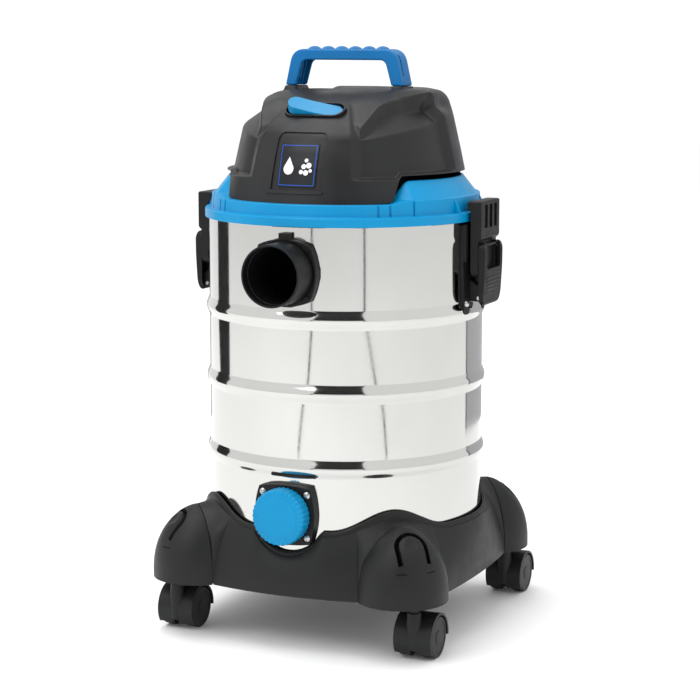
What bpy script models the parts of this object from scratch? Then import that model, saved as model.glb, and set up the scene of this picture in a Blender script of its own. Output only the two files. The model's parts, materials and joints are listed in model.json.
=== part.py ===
"""Wet and dry shop vacuum: a steel tank on a castered dolly, with a motor head that lifts off.

Metres, +Z up, front towards -Y. The origin is on the floor, under the tank's axis.
"""

import math

import bmesh
import bpy
from mathutils import Matrix, Vector

# Clearances
GAP = 0.0004
MERGE = 1e-6

# Tank
TANK_R = 0.143
TANK_WALL = 0.0010
TANK_BOTTOM = 0.0765
TANK_TOP = 0.4312
TANK_SEGMENTS = 48
BEAD_HEIGHTS = (0.185, 0.261, 0.335)
BEAD_HALF = 0.010
BEAD_OUT = 0.0032
RIM_OUT = 0.0018

# Inlet port and the rear blower port, both for the same hose end
HOSE_BORE_R = 0.0285
HOSE_PORT_R = 0.0310
INLET_Z = 0.382
INLET_FACE_Y = -0.182
INLET_INNER_Y = -0.132
INLET_FLANGE_R = 0.0360
BLOWER_Z = 0.494
BLOWER_FACE_Y = 0.177
CORD_X = -0.062
CORD_Z = 0.468

# Drain
DRAIN_Z = 0.139
DRAIN_HALF_X = 0.031
DRAIN_HALF_Z = 0.0285
DRAIN_BORE_R = 0.0170
DRAIN_NECK_R = 0.0215
DRAIN_CAP_R = 0.0285
DRAIN_PLATE_Y = -0.1515
DRAIN_NECK_Y = -0.1620
DRAIN_CAP_FACE_Y = -0.1685

# Lid collar
LIP_R = 0.147
LIP_BOTTOM = 0.427
LIP_TOP = 0.436
COLLAR_R = 0.1392
COLLAR_TOP = 0.4520
COLLAR_FRONT_TOP = 0.4485
LID_FLOOR = 0.4460
LID_FLOOR_THICK = 0.0030
LID_HOLE_R = 0.034

# Motor cover: (radius, height) up the front, the rear, the right side behind the recess and the left
# side behind the recess, matched point by point
COVER_FRONT = ((0.1285, 0.4480), (0.1225, 0.472), (0.1195, 0.484), (0.114, 0.500), (0.108, 0.5145),
               (0.0975, 0.5240), (0.0820, 0.5345), (0.0630, 0.5450), (0.035, 0.5525), (0.0, 0.5560))
COVER_REAR = ((0.1270, 0.4515), (0.1235, 0.475), (0.120, 0.492), (0.116, 0.508), (0.111, 0.525),
              (0.1040, 0.5380), (0.0930, 0.5465), (0.0680, 0.5520), (0.035, 0.5550), (0.0, 0.5560))
COVER_RIGHT = ((0.1270, 0.4515), (0.1235, 0.475), (0.120, 0.492), (0.116, 0.510), (0.110, 0.534),
               (0.1060, 0.5480), (0.1000, 0.5545), (0.0840, 0.5580), (0.050, 0.5540), (0.0, 0.5560))
COVER_LEFT = ((0.1270, 0.4515), (0.1235, 0.475), (0.120, 0.492), (0.116, 0.506), (0.112, 0.515),
              (0.1030, 0.5225), (0.0840, 0.5290), (0.0805, 0.5465), (0.055, 0.5525), (0.0, 0.5560))
COVER_WALL = 0.0030
COVER_SIDE_BOTTOM = 0.475

# Side recesses of the motor cover, by azimuth in degrees from the front
RECESS_FRONT = 30.0
RECESS_REAR = 87.0
RECESS_FLOOR = 0.473
PANEL_R_LOW = 0.117
PANEL_SLOPE = 10 / 44
SHELF_SLOPE = 1.45

# Handle
HANDLE_TOP = 0.601
HANDLE_UNDER = 0.587
HANDLE_FOOT_Z = 0.5605
HANDLE_DEPTH = 0.029
HANDLE_Y = 0.0065
HANDLE_BOSS_HALF = 0.017

# Rocker switch, on the front shoulder
SWITCH_Y = -0.075
SWITCH_Z = 0.5375
SWITCH_TILT = math.radians(34)
SWITCH_HALF_LENGTH = 0.0330
SWITCH_HALF_WIDTH = 0.0115
ROCKER_TILT = math.radians(14)

# Latches
LATCH_HALF_WIDTH = 0.0265
LATCH_PIVOT_X = 0.1550
LATCH_PIVOT_Z = 0.3495
LEVER_PIVOT_X = 0.1600
LEVER_PIVOT_Z = 0.4030
HOOK_UNDER_Z = LIP_TOP + 0.0022
HOOK_TOP_Z = 0.448
HOOK_REACH_X = 0.1450
BRACKET_HALF_WIDTH = 0.032

# Dolly
BASE_BOTTOM = 0.058
BASE_FLOOR_TOP = 0.0745
BASE_FLOOR_THICK = 0.0040
BASE_FRONT_R = 0.1615
BASE_SIDE_R = 0.1530
CUP_R = 0.1446
CUP_WALL = 0.0030
RIM_LOW = 0.123
RIM_RISE = 0.020
SCALLOP_R = 0.0385
FOOT_X = 0.1145
FOOT_Y = 0.1205
FOOT_R = 0.0465
FOOT_SHOULDER = 0.065
FOOT_TOP = 0.133
FOOT_WALL = 0.0030
TONGUE_HALF = 0.014

# Casters
STEM_X = 0.133
STEM_Y = 0.133
STEM_R = 0.0050
STEM_TOP = 0.092
TRAIL = 0.018
WHEEL_R = 0.021
WHEEL_SEGMENTS = 16
WHEEL_INNER = 0.0070
WHEEL_OUTER = 0.0195
AXLE_R = 0.0030
BOSS_R = 0.0064

# Motor and blower, on the tank's axis
SHAFT_R = 0.0040

# Filter
CAGE_R = 0.037
FLOAT_R = 0.020
FLOAT_Z = 0.3735
FILTER_TOP = 0.4405
FILTER_BOTTOM = 0.352

BLUE = (0.008, 0.330, 0.640)
HANDLE_BLUE = (0.020, 0.290, 0.620)
HEAD_GREY = (0.055, 0.056, 0.060)
DOLLY_GREY = (0.045, 0.047, 0.049)
BLACK = (0.012, 0.012, 0.013)
STEEL = (0.700, 0.700, 0.680)
COPPER = (0.600, 0.220, 0.090)


# ---------------------------------------------------------------- helpers

def clear_scene():
    for obj in list(bpy.data.objects):
        bpy.data.objects.remove(obj, do_unlink=True)


def material(name, colour, roughness=0.5, metallic=0.0):
    made = bpy.data.materials.new(name)
    made.use_nodes = True
    shader = made.node_tree.nodes["Principled BSDF"]
    shader.inputs["Base Color"].default_value = (*colour, 1.0)
    shader.inputs["Roughness"].default_value = roughness
    shader.inputs["Metallic"].default_value = metallic
    return made


def add_object(name, bm, finish=None, smooth_angle=35):
    """Turns a bmesh into an object, with its faces pointing out and its round sides smooth."""
    bmesh.ops.recalc_face_normals(bm, faces=bm.faces)
    mesh = bpy.data.meshes.new(name)
    bm.to_mesh(mesh)
    bm.free()
    if finish:
        mesh.materials.append(finish)
    mesh.shade_smooth()
    mesh.set_sharp_from_angle(angle=math.radians(smooth_angle))
    obj = bpy.data.objects.new(name, mesh)
    bpy.context.scene.collection.objects.link(obj)
    return obj


def spread(section_at, azimuths, name, finish=None, centre=(0.0, 0.0)):
    """Joins one (radius, height) section for each azimuth, in degrees from the front (-Y) towards +X.

    A section that starts and ends on the axis makes a solid disc, and any other closes into a ring.
    """
    bm = bmesh.new()
    loops = []
    for azimuth in azimuths:
        across, along = math.sin(math.radians(azimuth)), -math.cos(math.radians(azimuth))
        loops.append([bm.verts.new((centre[0] + r * across, centre[1] + r * along, z))
                      for r, z in section_at(azimuth)])
    count = len(loops[0])
    on_axis = section_at(azimuths[0])[0][0] == 0
    for index, loop in enumerate(loops):
        after = loops[(index + 1) % len(loops)]
        for j in range(count - 1 if on_axis else count):
            k = (j + 1) % count
            bm.faces.new((loop[j], after[j], after[k], loop[k]))
    bmesh.ops.remove_doubles(bm, verts=bm.verts, dist=MERGE)
    return add_object(name, bm, finish)


def turned(name, section, finish=None, segments=32, centre=(0.0, 0.0)):
    """Turns one (radius, height) section round a vertical axis, with facets that face the four sides."""
    step = 360 / segments
    return spread(lambda azimuth: section, [step * (i + 0.5) for i in range(segments)], name,
                  finish, centre)


def aim(obj, axis, origin):
    """Lays a shape that was turned round +Z along another axis, and moves it to its place."""
    turn = Vector((0, 0, 1)).rotation_difference(Vector(axis)).to_matrix().to_4x4()
    obj.data.transform(Matrix.Translation(origin) @ turn)
    return obj


def rod(name, start, end, radius, finish=None, segments=16):
    start, end = Vector(start), Vector(end)
    length = (end - start).length
    shape = turned(name, ((0, 0), (radius, 0), (radius, length), (0, length)), finish, segments)
    return aim(shape, end - start, start)


def box(name, low, high, finish=None):
    bm = bmesh.new()
    bmesh.ops.create_cube(bm, size=1.0)
    size = Vector(high) - Vector(low)
    middle = (Vector(high) + Vector(low)) / 2
    bmesh.ops.transform(bm, matrix=Matrix.Translation(middle) @ Matrix.Diagonal((*size, 1)),
                        verts=bm.verts)
    return add_object(name, bm, finish)


def prism(name, outline, low, high, axis, finish=None):
    """Extrudes an outline between two positions on an axis. The outline's two coordinates are the
    row's other two axes, in X, Y, Z order."""
    place = {"X": lambda u, v, w: (w, u, v), "Y": lambda u, v, w: (u, w, v), "Z": lambda u, v, w: (u, v, w)}
    bm = bmesh.new()
    face = bm.faces.new([bm.verts.new(place[axis](u, v, low)) for u, v in outline])
    raised = bmesh.ops.extrude_face_region(bm, geom=[face])["geom"]
    moved = [item for item in raised if isinstance(item, bmesh.types.BMVert)]
    shift = Vector(place[axis](0, 0, high - low))
    bmesh.ops.translate(bm, verts=moved, vec=shift)
    return add_object(name, bm, finish)


def arc(centre, radius, start, end, steps):
    """Points along an arc, angles in degrees from the first axis towards the second."""
    angles = [math.radians(start + (end - start) * i / steps) for i in range(steps + 1)]
    return [(centre[0] + radius * math.cos(a), centre[1] + radius * math.sin(a)) for a in angles]


def rounded_rectangle(half_x, half_y, radius, steps=4, centre=(0.0, 0.0)):
    points = []
    for quarter, (sx, sy) in enumerate(((1, 1), (-1, 1), (-1, -1), (1, -1))):
        corner = (centre[0] + sx * (half_x - radius), centre[1] + sy * (half_y - radius))
        points += arc(corner, radius, 90 * quarter, 90 * quarter + 90, steps)
    return points


def helper(obj):
    obj.hide_render = True
    obj.display_type = "WIRE"
    return obj


def combine(target, tool, operation):
    """Adds or removes a helper's volume with a Boolean modifier."""
    modifier = target.modifiers.new(f"{operation.lower()} {tool.name}", "BOOLEAN")
    modifier.operation = operation
    modifier.solver = "EXACT"
    modifier.object = helper(tool)
    return target


def cut(target, *tools):
    for tool in tools:
        combine(target, tool, "DIFFERENCE")
    return target


def join(target, *tools):
    for tool in tools:
        combine(target, tool, "UNION")
    return target


def keep_inside(target, tool):
    return combine(target, tool, "INTERSECT")


def pivot(name, position):
    empty = bpy.data.objects.new(name, None)
    empty.location = position
    empty.empty_display_size = 0.01
    bpy.context.scene.collection.objects.link(empty)
    return empty


def hang(parent, *children):
    """Parents objects to an empty and leaves them where they are."""
    bpy.context.view_layer.update()
    for child in children:
        child.parent = parent
        child.matrix_parent_inverse = parent.matrix_world.inverted()


def mix(a, b, share):
    return a + (b - a) * share


def ramp(value, low, high):
    """Rises smoothly from 0 at low to 1 at high."""
    t = min(max((value - low) / (high - low), 0.0), 1.0)
    return t * t * (3 - 2 * t)


def along(points, z):
    """Radius at a height, on a polyline of (radius, height) points that rises."""
    for (r0, z0), (r1, z1) in zip(points, points[1:]):
        if z <= z1:
            return mix(r0, r1, min(max((z - z0) / (z1 - z0), 0.0), 1.0))
    return points[-1][0]


def by_azimuth(points, away):
    """Value at an azimuth, on a list of (azimuth, value) points."""
    for (a0, v0), (a1, v1) in zip(points, points[1:]):
        if away <= a1:
            return mix(v0, v1, min(max((away - a0) / (a1 - a0), 0.0), 1.0))
    return points[-1][1]


def from_front(azimuth):
    """Degrees from the front, the same on the left and on the right."""
    return abs((azimuth + 180) % 360 - 180)


def ring(name, inner, outer, low, high, finish=None, segments=32):
    section = ((inner, low), (outer, low), (outer, high), (inner, high))
    return turned(name, section, finish, segments)


# ---------------------------------------------------------------- tank

def tank_section():
    """The wall's section: up the outside with three beads and a rolled rim, and straight down the inside."""
    outside = [(TANK_R - 0.003, TANK_BOTTOM), (TANK_R, TANK_BOTTOM + 0.003)]
    for height in BEAD_HEIGHTS:
        for offset, out in ((-1, 0), (0, 1), (1, 0)):
            outside.append((TANK_R + BEAD_OUT * out, height + BEAD_HALF * offset))
    outside += [(TANK_R, TANK_TOP - 0.0045), (TANK_R + RIM_OUT, TANK_TOP - 0.0035),
                (TANK_R + RIM_OUT, TANK_TOP - 0.0008), (TANK_R + 0.0006, TANK_TOP)]
    inside = [(TANK_R - TANK_WALL, TANK_TOP), (TANK_R - TANK_WALL, TANK_BOTTOM + 0.003),
              (TANK_R - 0.003 - TANK_WALL, TANK_BOTTOM)]
    return outside + inside


def make_tank(steel):
    tank = turned("tank_shell", tank_section(), steel, TANK_SEGMENTS)
    inlet_hole = rod("inlet_hole_cutter", (0, -0.160, INLET_Z), (0, -0.120, INLET_Z), HOSE_PORT_R + GAP,
                     None, 24)
    drain_hole = rod("drain_hole_cutter", (0, -0.160, DRAIN_Z), (0, -0.120, DRAIN_Z), DRAIN_BORE_R, None, 24)
    cut(tank, inlet_hole, drain_hole)
    # The floor is a pressed disc, crimped into the wall's foot.
    edge = TANK_R - 0.003 - TANK_WALL - GAP
    floor = ((0, TANK_BOTTOM + 0.002), (edge - 0.012, TANK_BOTTOM + 0.002), (edge - 0.006, TANK_BOTTOM),
             (edge, TANK_BOTTOM), (edge, TANK_BOTTOM + 0.003), (0, TANK_BOTTOM + 0.003))
    turned("tank_floor", floor, steel, TANK_SEGMENTS)


def tank_cutter(name, radius):
    """A cylinder with the tank's own facets, for fitting a piece against the wall."""
    return turned(name, ((0, 0.03), (radius, 0.03), (radius, 0.46), (0, 0.46)), None, TANK_SEGMENTS)


def make_inlet(black, rubber):
    """Flange and tube for the hose, its gasket and the elbow that turns the air down inside."""
    flange = rod("inlet_port", (0, -0.150, INLET_Z), (0, -0.122, INLET_Z), INLET_FLANGE_R, black, 24)
    tube = rod("inlet_tube_helper", (0, INLET_FACE_Y, INLET_Z), (0, INLET_INNER_Y, INLET_Z), HOSE_PORT_R,
               None, 24)
    bore = rod("inlet_bore_cutter", (0, -0.190, INLET_Z), (0, -0.100, INLET_Z), HOSE_BORE_R, None, 24)
    locator = box("inlet_locator_helper", (-0.006, -0.150, INLET_Z + 0.030),
                  (0.006, -0.138, INLET_Z + 0.0395))
    join(flange, locator)
    cut(flange, tank_cutter("tank_cutter_port", TANK_R + 0.0016))
    join(flange, tube)
    cut(flange, bore)

    gasket = rod("inlet_gasket", (0, -0.1495, INLET_Z), (0, -0.130, INLET_Z), INLET_FLANGE_R - 0.001,
                 rubber, 24)
    keep_inside(gasket, tank_cutter("tank_cutter_gasket", TANK_R + 0.0012))
    hole = rod("gasket_hole_cutter", (0, -0.160, INLET_Z), (0, -0.110, INLET_Z), HOSE_PORT_R + GAP, None, 24)
    cut(gasket, tank_cutter("tank_cutter_seal", TANK_R + 0.0004), hole)

    bm = bmesh.new()
    bend, steps, sides = 0.0315, 5, 16
    loops = []
    for radius in (HOSE_PORT_R - 0.0005, HOSE_BORE_R):
        rows = []
        for i in range(steps + 1):
            turn = math.radians(90) * i / steps
            down = bend * (1 - math.cos(turn))
            centre = Vector((0, INLET_INNER_Y + GAP + bend * math.sin(turn), INLET_Z - down))
            up = Vector((0, math.sin(turn), math.cos(turn)))
            ring_points = []
            for j in range(sides):
                angle = 2 * math.pi * j / sides
                point = centre + up * radius * math.cos(angle) + Vector((radius * math.sin(angle), 0, 0))
                ring_points.append(bm.verts.new(point))
            rows.append(ring_points)
        loops.append(rows)
    for rows in loops:
        for first, second in zip(rows, rows[1:]):
            for j in range(sides):
                k = (j + 1) % sides
                bm.faces.new((first[j], first[k], second[k], second[j]))
    for end in (0, -1):
        for j in range(sides):
            k = (j + 1) % sides
            bm.faces.new((loops[0][end][j], loops[0][end][k], loops[1][end][k], loops[1][end][j]))
    add_object("inlet_deflector", bm, black)


def make_drain(black, rubber, blue):
    """Plate and neck on the tank, and the knurled cap with its seal, which screws off."""
    outline = rounded_rectangle(DRAIN_HALF_X, DRAIN_HALF_Z, 0.014, 3, (0, DRAIN_Z))
    plate = prism("drain_flange", outline, DRAIN_PLATE_Y, -0.125, "Y", black)
    cut(plate, tank_cutter("tank_cutter_drain", TANK_R + 0.0016))
    neck = rod("drain_neck_helper", (0, DRAIN_NECK_Y, DRAIN_Z), (0, -0.146, DRAIN_Z), DRAIN_NECK_R, None, 24)
    join(plate, neck)
    cut(plate, rod("drain_bore_cutter", (0, -0.180, DRAIN_Z), (0, -0.120, DRAIN_Z), DRAIN_BORE_R, None, 24))

    inset = rounded_rectangle(DRAIN_HALF_X - 0.0015, DRAIN_HALF_Z - 0.0015, 0.013, 3, (0, DRAIN_Z))
    gasket = prism("drain_gasket", inset, -0.150, -0.125, "Y", rubber)
    keep_inside(gasket, tank_cutter("tank_cutter_drain_gasket", TANK_R + 0.0012))
    cut(gasket, tank_cutter("tank_cutter_drain_seal", TANK_R + 0.0004),
        rod("drain_gasket_hole", (0, -0.160, DRAIN_Z), (0, -0.120, DRAIN_Z), DRAIN_BORE_R + 0.001, None, 24))

    # The cap's section, from its closed outer face to its open back, turned round -Y.
    depth = abs(DRAIN_CAP_FACE_Y - DRAIN_PLATE_Y) - 0.0008
    inner = DRAIN_NECK_R + 0.0006
    section = ((0, depth), (DRAIN_CAP_R - 0.0025, depth), (DRAIN_CAP_R, depth - 0.002), (DRAIN_CAP_R, 0.001),
               (DRAIN_CAP_R - 0.001, 0), (inner, 0), (inner, depth - 0.0042), (0, depth - 0.0042))
    cap = turned("drain_cap", section, blue, 28)
    aim(cap, (0, -1, 0), (0, DRAIN_PLATE_Y - 0.0008, DRAIN_Z))
    seal = ring("drain_cap_seal", DRAIN_BORE_R + 0.0005, DRAIN_NECK_R - 0.0003, 0, 0.0012, rubber, 24)
    aim(seal, (0, -1, 0), (0, DRAIN_NECK_Y - 0.0005, DRAIN_Z))
    hang(pivot("drain_axis", (0, DRAIN_CAP_FACE_Y, DRAIN_Z)), cap, seal)


# ---------------------------------------------------------------- dolly

def foot_axis():
    return math.degrees(math.atan2(FOOT_X, FOOT_Y)), math.hypot(FOOT_X, FOOT_Y)


def foot_half_width(z):
    """Half the width of a foot's dome at a height."""
    if z <= FOOT_SHOULDER:
        return FOOT_R
    t = min((z - FOOT_SHOULDER) / (FOOT_TOP - FOOT_SHOULDER), 1.0)
    return FOOT_R * max(1 - t ** 2.2, 0.0) ** 0.62


def foot_height(offset):
    """Height of a foot's dome at a distance from its axis."""
    share = min(abs(offset) / FOOT_R, 1.0)
    return FOOT_SHOULDER + (FOOT_TOP - FOOT_SHOULDER) * (1 - share ** (1 / 0.62)) ** (1 / 2.2)


def base_wall(azimuth, z):
    """Radius of the dolly's wall between the feet."""
    away = math.radians(from_front(azimuth))
    low = BASE_FRONT_R * math.cos(away) ** 2 + BASE_SIDE_R * math.sin(away) ** 2
    return mix(low, CUP_R + CUP_WALL + 0.002, min(max((z - BASE_BOTTOM) / 0.062, 0.0), 1.0))


def base_rim(azimuth):
    """Height of the cup's rim: raised at the feet, and scooped out under the drain."""
    away = from_front(azimuth)
    mirrored = min(away, 180 - away)
    rise = math.cos(math.radians(min(abs(mirrored - foot_axis()[0]) / 26, 1.0) * 90)) ** 2
    rim = RIM_LOW + RIM_RISE * rise
    across = CUP_R * math.sin(math.radians(away))
    if away < 90 and across < SCALLOP_R:
        rim = min(rim, DRAIN_Z - math.sqrt(SCALLOP_R ** 2 - across ** 2))
    return rim


def base_section(azimuth):
    """Section of the dolly: its floor, the cup round the tank, and the outer skirt with its lobes."""
    away = from_front(azimuth)
    mirrored = min(away, 180 - away)
    angle, distance = foot_axis()
    offset = math.radians(abs(mirrored - angle))
    rim = base_rim(azimuth)
    outer_cup = CUP_R + CUP_WALL
    seam = distance - GAP
    if math.tan(offset) * seam < FOOT_R - 0.0002:
        reach = seam / math.cos(offset)
        top = foot_height(math.tan(offset) * seam)
        shoulder = max(min(rim - 0.005, foot_height(math.sin(offset) * 0.152) + 0.004), top + 0.0015)
        outside = [(outer_cup + 0.004, shoulder), (reach, top), (reach, mix(BASE_BOTTOM, top, 0.5)),
                   (reach, BASE_BOTTOM)]
        inside = [(reach - 0.0035, BASE_BOTTOM), (reach - 0.0035, mix(BASE_BOTTOM, top, 0.5)),
                  (reach - 0.0035, top - 0.006), (outer_cup + 0.002, top - 0.005)]
    else:
        outside = [(base_wall(azimuth, rim - 0.006), rim - 0.006), (base_wall(azimuth, 0.090), 0.090),
                   (base_wall(azimuth, 0.074), 0.074), (base_wall(azimuth, BASE_BOTTOM), BASE_BOTTOM)]
        skirt = base_wall(azimuth, BASE_BOTTOM) - 0.0035
        inside = [(skirt, BASE_BOTTOM), (skirt - 0.0005, 0.062), (skirt - 0.001, 0.066),
                  (outer_cup + 0.001, 0.0700)]
    under = BASE_FLOOR_TOP - BASE_FLOOR_THICK
    start = [(0, BASE_FLOOR_TOP), (CUP_R, BASE_FLOOR_TOP), (CUP_R, rim - 0.0008), (CUP_R + 0.001, rim),
             (outer_cup, rim - 0.001)]
    return start + outside + inside + [(outer_cup, under), (0, under)]


def base_azimuths():
    angle = foot_axis()[0]
    lobe = math.degrees(math.atan(FOOT_R / foot_axis()[1]))
    quarter = [0, 5, 9, 12.5, 14.6, 19]
    quarter += [angle + lobe * share for share in (-1.12, -0.985, -0.85, -0.65, -0.35, 0, 0.35, 0.65, 0.85,
                                                   0.985, 1.12)]
    quarter += [68, 79, 90]
    half = quarter + [180 - a for a in quarter[-2::-1]]
    return half + [360 - a for a in half[-2:0:-1]]


def make_dolly(grey):
    base = spread(base_section, base_azimuths(), "dolly_base", grey)
    for fore in (-1, 1):
        for side in (-1, 1):
            make_foot(side, fore, grey)
            half = TONGUE_HALF + 0.0005
            window = box(f"tongue_window_cutter_{corner_name(side, fore)}", (-0.012, -half, 0.0775),
                         (0.005, half, 0.0985))
            window.data.transform(foot_frame(side, fore))
            cut(base, window)


def foot_frame(side, fore):
    """Places a shape made along +X at the middle of a foot's seam, pointing outwards."""
    outward = Vector((side * FOOT_X, fore * FOOT_Y, 0)).normalized()
    turn = Vector((1, 0, 0)).rotation_difference(outward).to_matrix().to_4x4()
    return Matrix.Translation((side * FOOT_X, fore * FOOT_Y, 0)) @ turn


def corner_name(side, fore):
    return f"{'front' if fore < 0 else 'rear'}_{'left' if side < 0 else 'right'}"


def make_foot(side, fore, grey):
    """Half a dome that clips on to a lobe of the dolly and holds the caster's socket."""
    centre = (side * FOOT_X, fore * FOOT_Y)
    heights = (BASE_BOTTOM, FOOT_SHOULDER, 0.088, 0.106, 0.119, 0.128)
    outside = [(foot_half_width(z), z) for z in heights] + [(0, FOOT_TOP)]
    inside = [(foot_half_width(z) - FOOT_WALL, z) for z in heights[:-1]] + [(0, FOOT_TOP - 0.0045)]
    name = "caster_foot_" + corner_name(side, fore)
    dome = turned(name, [(0, FOOT_TOP)] + outside[-2::-1] + inside[:-1] + [inside[-1]], grey, 24, centre)

    seam_side = box(name + "_seam_cutter", (-0.2, -0.1, 0), (0, 0.1, 0.2))
    seam_side.data.transform(foot_frame(side, fore))
    cut(dome, seam_side)
    socket = rod(name + "_socket_helper", (side * STEM_X, fore * STEM_Y, 0.0535),
                 (side * STEM_X, fore * STEM_Y, 0.113), 0.0105, None, 12)
    tongue = box(name + "_tongue_helper", (-0.009, -TONGUE_HALF, 0.078), (0.018, TONGUE_HALF, 0.098))
    tongue.data.transform(foot_frame(side, fore))
    join(dome, socket, tongue)
    cut(dome, rod(name + "_bore_cutter", (side * STEM_X, fore * STEM_Y, 0.040),
                  (side * STEM_X, fore * STEM_Y, STEM_TOP + 0.002), STEM_R + 0.0004, None, 12))


def make_casters(black, tread, steel):
    for fore in (-1, 1):
        for side in (-1, 1):
            make_caster(side, fore, black, tread, steel)


def make_caster(side, fore, black, tread, steel):
    """Hooded twin-wheel caster, trailing to the rear, with one axle through both wheels."""
    corner = corner_name(side, fore)
    axle_at = Vector((side * STEM_X, fore * STEM_Y + TRAIL, WHEEL_R))
    hood_inner, hood_outer = WHEEL_R + 0.0016, WHEEL_R + 0.0036
    outline = arc((0, 0), hood_outer, -32, 186, 9) + arc((0, 0), hood_inner, 186, -32, 9)
    outline = [(axle_at.y - u, axle_at.z + v) for u, v in outline]
    hood = prism("caster_hood_" + corner, outline, axle_at.x - 0.0200, axle_at.x + 0.0200, "X", black)
    web = rod(hood.name + "_web_helper", axle_at - Vector((0.006, 0, 0)), axle_at + Vector((0.006, 0, 0)),
              hood_inner + 0.001, None, 16)
    below = box(hood.name + "_web_cutter", axle_at + Vector((-0.03, -0.03, -0.03)),
                axle_at + Vector((0.03, 0.03, -0.0095)))
    cut(web, below)
    boss = rod(hood.name + "_boss_helper", (axle_at.x, fore * STEM_Y, 0.020),
               (axle_at.x, fore * STEM_Y, 0.049), BOSS_R, None, 12)
    stem = rod(hood.name + "_stem_helper", (axle_at.x, fore * STEM_Y, 0.045),
               (axle_at.x, fore * STEM_Y, STEM_TOP), STEM_R, None, 12)
    join(hood, web, boss, stem)
    cut(hood, rod(hood.name + "_axle_cutter", axle_at - Vector((0.03, 0, 0)), axle_at + Vector((0.03, 0, 0)),
                  AXLE_R + GAP, None, 12))
    axle = rod("caster_axle_" + corner, axle_at - Vector((WHEEL_OUTER - 0.003, 0, 0)),
               axle_at + Vector((WHEEL_OUTER - 0.003, 0, 0)), AXLE_R, steel, 12)
    swivel = pivot("swivel_" + corner, (side * STEM_X, fore * STEM_Y, 0))
    hang(swivel, hood, axle)
    for end, label in ((-1, "left"), (1, "right")):
        spin = pivot(f"spin_{corner}_{label}", axle_at)
        hang(swivel, spin)
        hang(spin, make_wheel(f"caster_wheel_{corner}_{label}", axle_at, end, tread))


def make_wheel(name, axle_at, end, tread):
    """One wheel, closed on its outer face. Its flats touch the floor."""
    radius = WHEEL_R / math.cos(math.pi / WHEEL_SEGMENTS)
    width = WHEEL_OUTER - WHEEL_INNER
    bore = AXLE_R + 0.0003
    section = ((bore, 0), (radius - 0.001, 0), (radius, 0.001), (radius, width - 0.003),
               (radius - 0.0025, width), (0, width), (0, width - 0.0028), (bore, width - 0.0028))
    section = section[5::-1] + section[:5:-1]
    wheel = turned(name, section, tread, WHEEL_SEGMENTS)
    return aim(wheel, (end, 0, 0), axle_at + Vector((end * WHEEL_INNER, 0, 0)))


# ---------------------------------------------------------------- lid collar and motor cover

def side_share(azimuth):
    """0 at the front and rear, and 1 at the sides, where the motor cover's edge is raised."""
    away = from_front(azimuth)
    return ramp(away, 47, 57) * (1 - ramp(away, 120, 130))


def collar_section(azimuth):
    share = side_share(azimuth)
    top = mix(COLLAR_FRONT_TOP, COLLAR_TOP, ramp(from_front(azimuth), 44, 50))
    foot = mix(0.1230, 0.1375, share)
    crest = mix(0.1180, 0.1230, share)
    crest_z = mix(top + 0.0020, 0.4670, share)
    low_inside = 0.1155
    ledge = top - 0.0015
    return [(LID_HOLE_R, LID_FLOOR), (low_inside + 0.004, LID_FLOOR), (0.1345, LIP_TOP - 0.0028),
            (LIP_R - 0.0016, LIP_TOP - 0.0028), (LIP_R - 0.0016, LIP_BOTTOM), (LIP_R, LIP_BOTTOM),
            (LIP_R, LIP_TOP), (COLLAR_R + 0.0006, LIP_TOP + 0.0004), (COLLAR_R, top),
            (COLLAR_R - 0.0012, top), (foot, ledge), (crest, crest_z), (crest - 0.002, crest_z),
            (low_inside, LID_FLOOR + LID_FLOOR_THICK), (LID_HOLE_R, LID_FLOOR + LID_FLOOR_THICK)]


def blended(first, second, share):
    """Mixes two matched (radius, height) lines."""
    return [(mix(f[0], s[0], share), mix(f[1], s[1], share)) for f, s in zip(first, second)]


def cover_outline(azimuth):
    """The motor cover's own (radius, height) line before the side recesses are cut."""
    away = from_front(azimuth)
    line = blended(COVER_FRONT, COVER_REAR, ramp(away, 20, 80))
    if 0 < azimuth < 180:
        return blended(line, COVER_RIGHT, ramp(away, 70, 90) * (1 - ramp(away, 125, 150)))
    return blended(line, COVER_LEFT, ramp(away, 62, 75) * (1 - ramp(away, 130, 150)))


def panel_top(away):
    """Height of the recess panel's upper edge."""
    return mix(0.510, 0.525, min(max((away - 32) / 48, 0.0), 1.0))


def arch_inner(away):
    """Height where the recess's sloping shelf meets the upright band under the arch."""
    return by_azimuth(((31, 0.5105), (38, 0.516), (45, 0.5255), (57, 0.532), (70, 0.535), (87, 0.537)), away)


def arch_outer(azimuth):
    """Radius and height of the arch's edge, where the upright band meets the crown. The arch rises
    further towards its rear on the right side than on the left."""
    away = from_front(azimuth)
    right = 0 < azimuth < 180
    end_r, end_z = (0.0975, 0.5555) if right else (0.0815, 0.5480)
    radius = by_azimuth(((30.5, 0.1045), (36, 0.0985), (47, 0.0895), (56, 0.0850), (67, 0.0810),
                         (87, end_r)), away)
    height = by_azimuth(((30.5, 0.520), (36, 0.529), (41, 0.537), (47, 0.544), (56, 0.5475), (67, 0.549),
                         (87, end_z)), away)
    return radius, height


def recess_radius(away, z):
    """Radius of the recess's panel or shelf at a height."""
    top = panel_top(away)
    return PANEL_R_LOW - (min(z, top) - RECESS_FLOOR) * PANEL_SLOPE - max(z - top, 0.0) * SHELF_SLOPE


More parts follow.
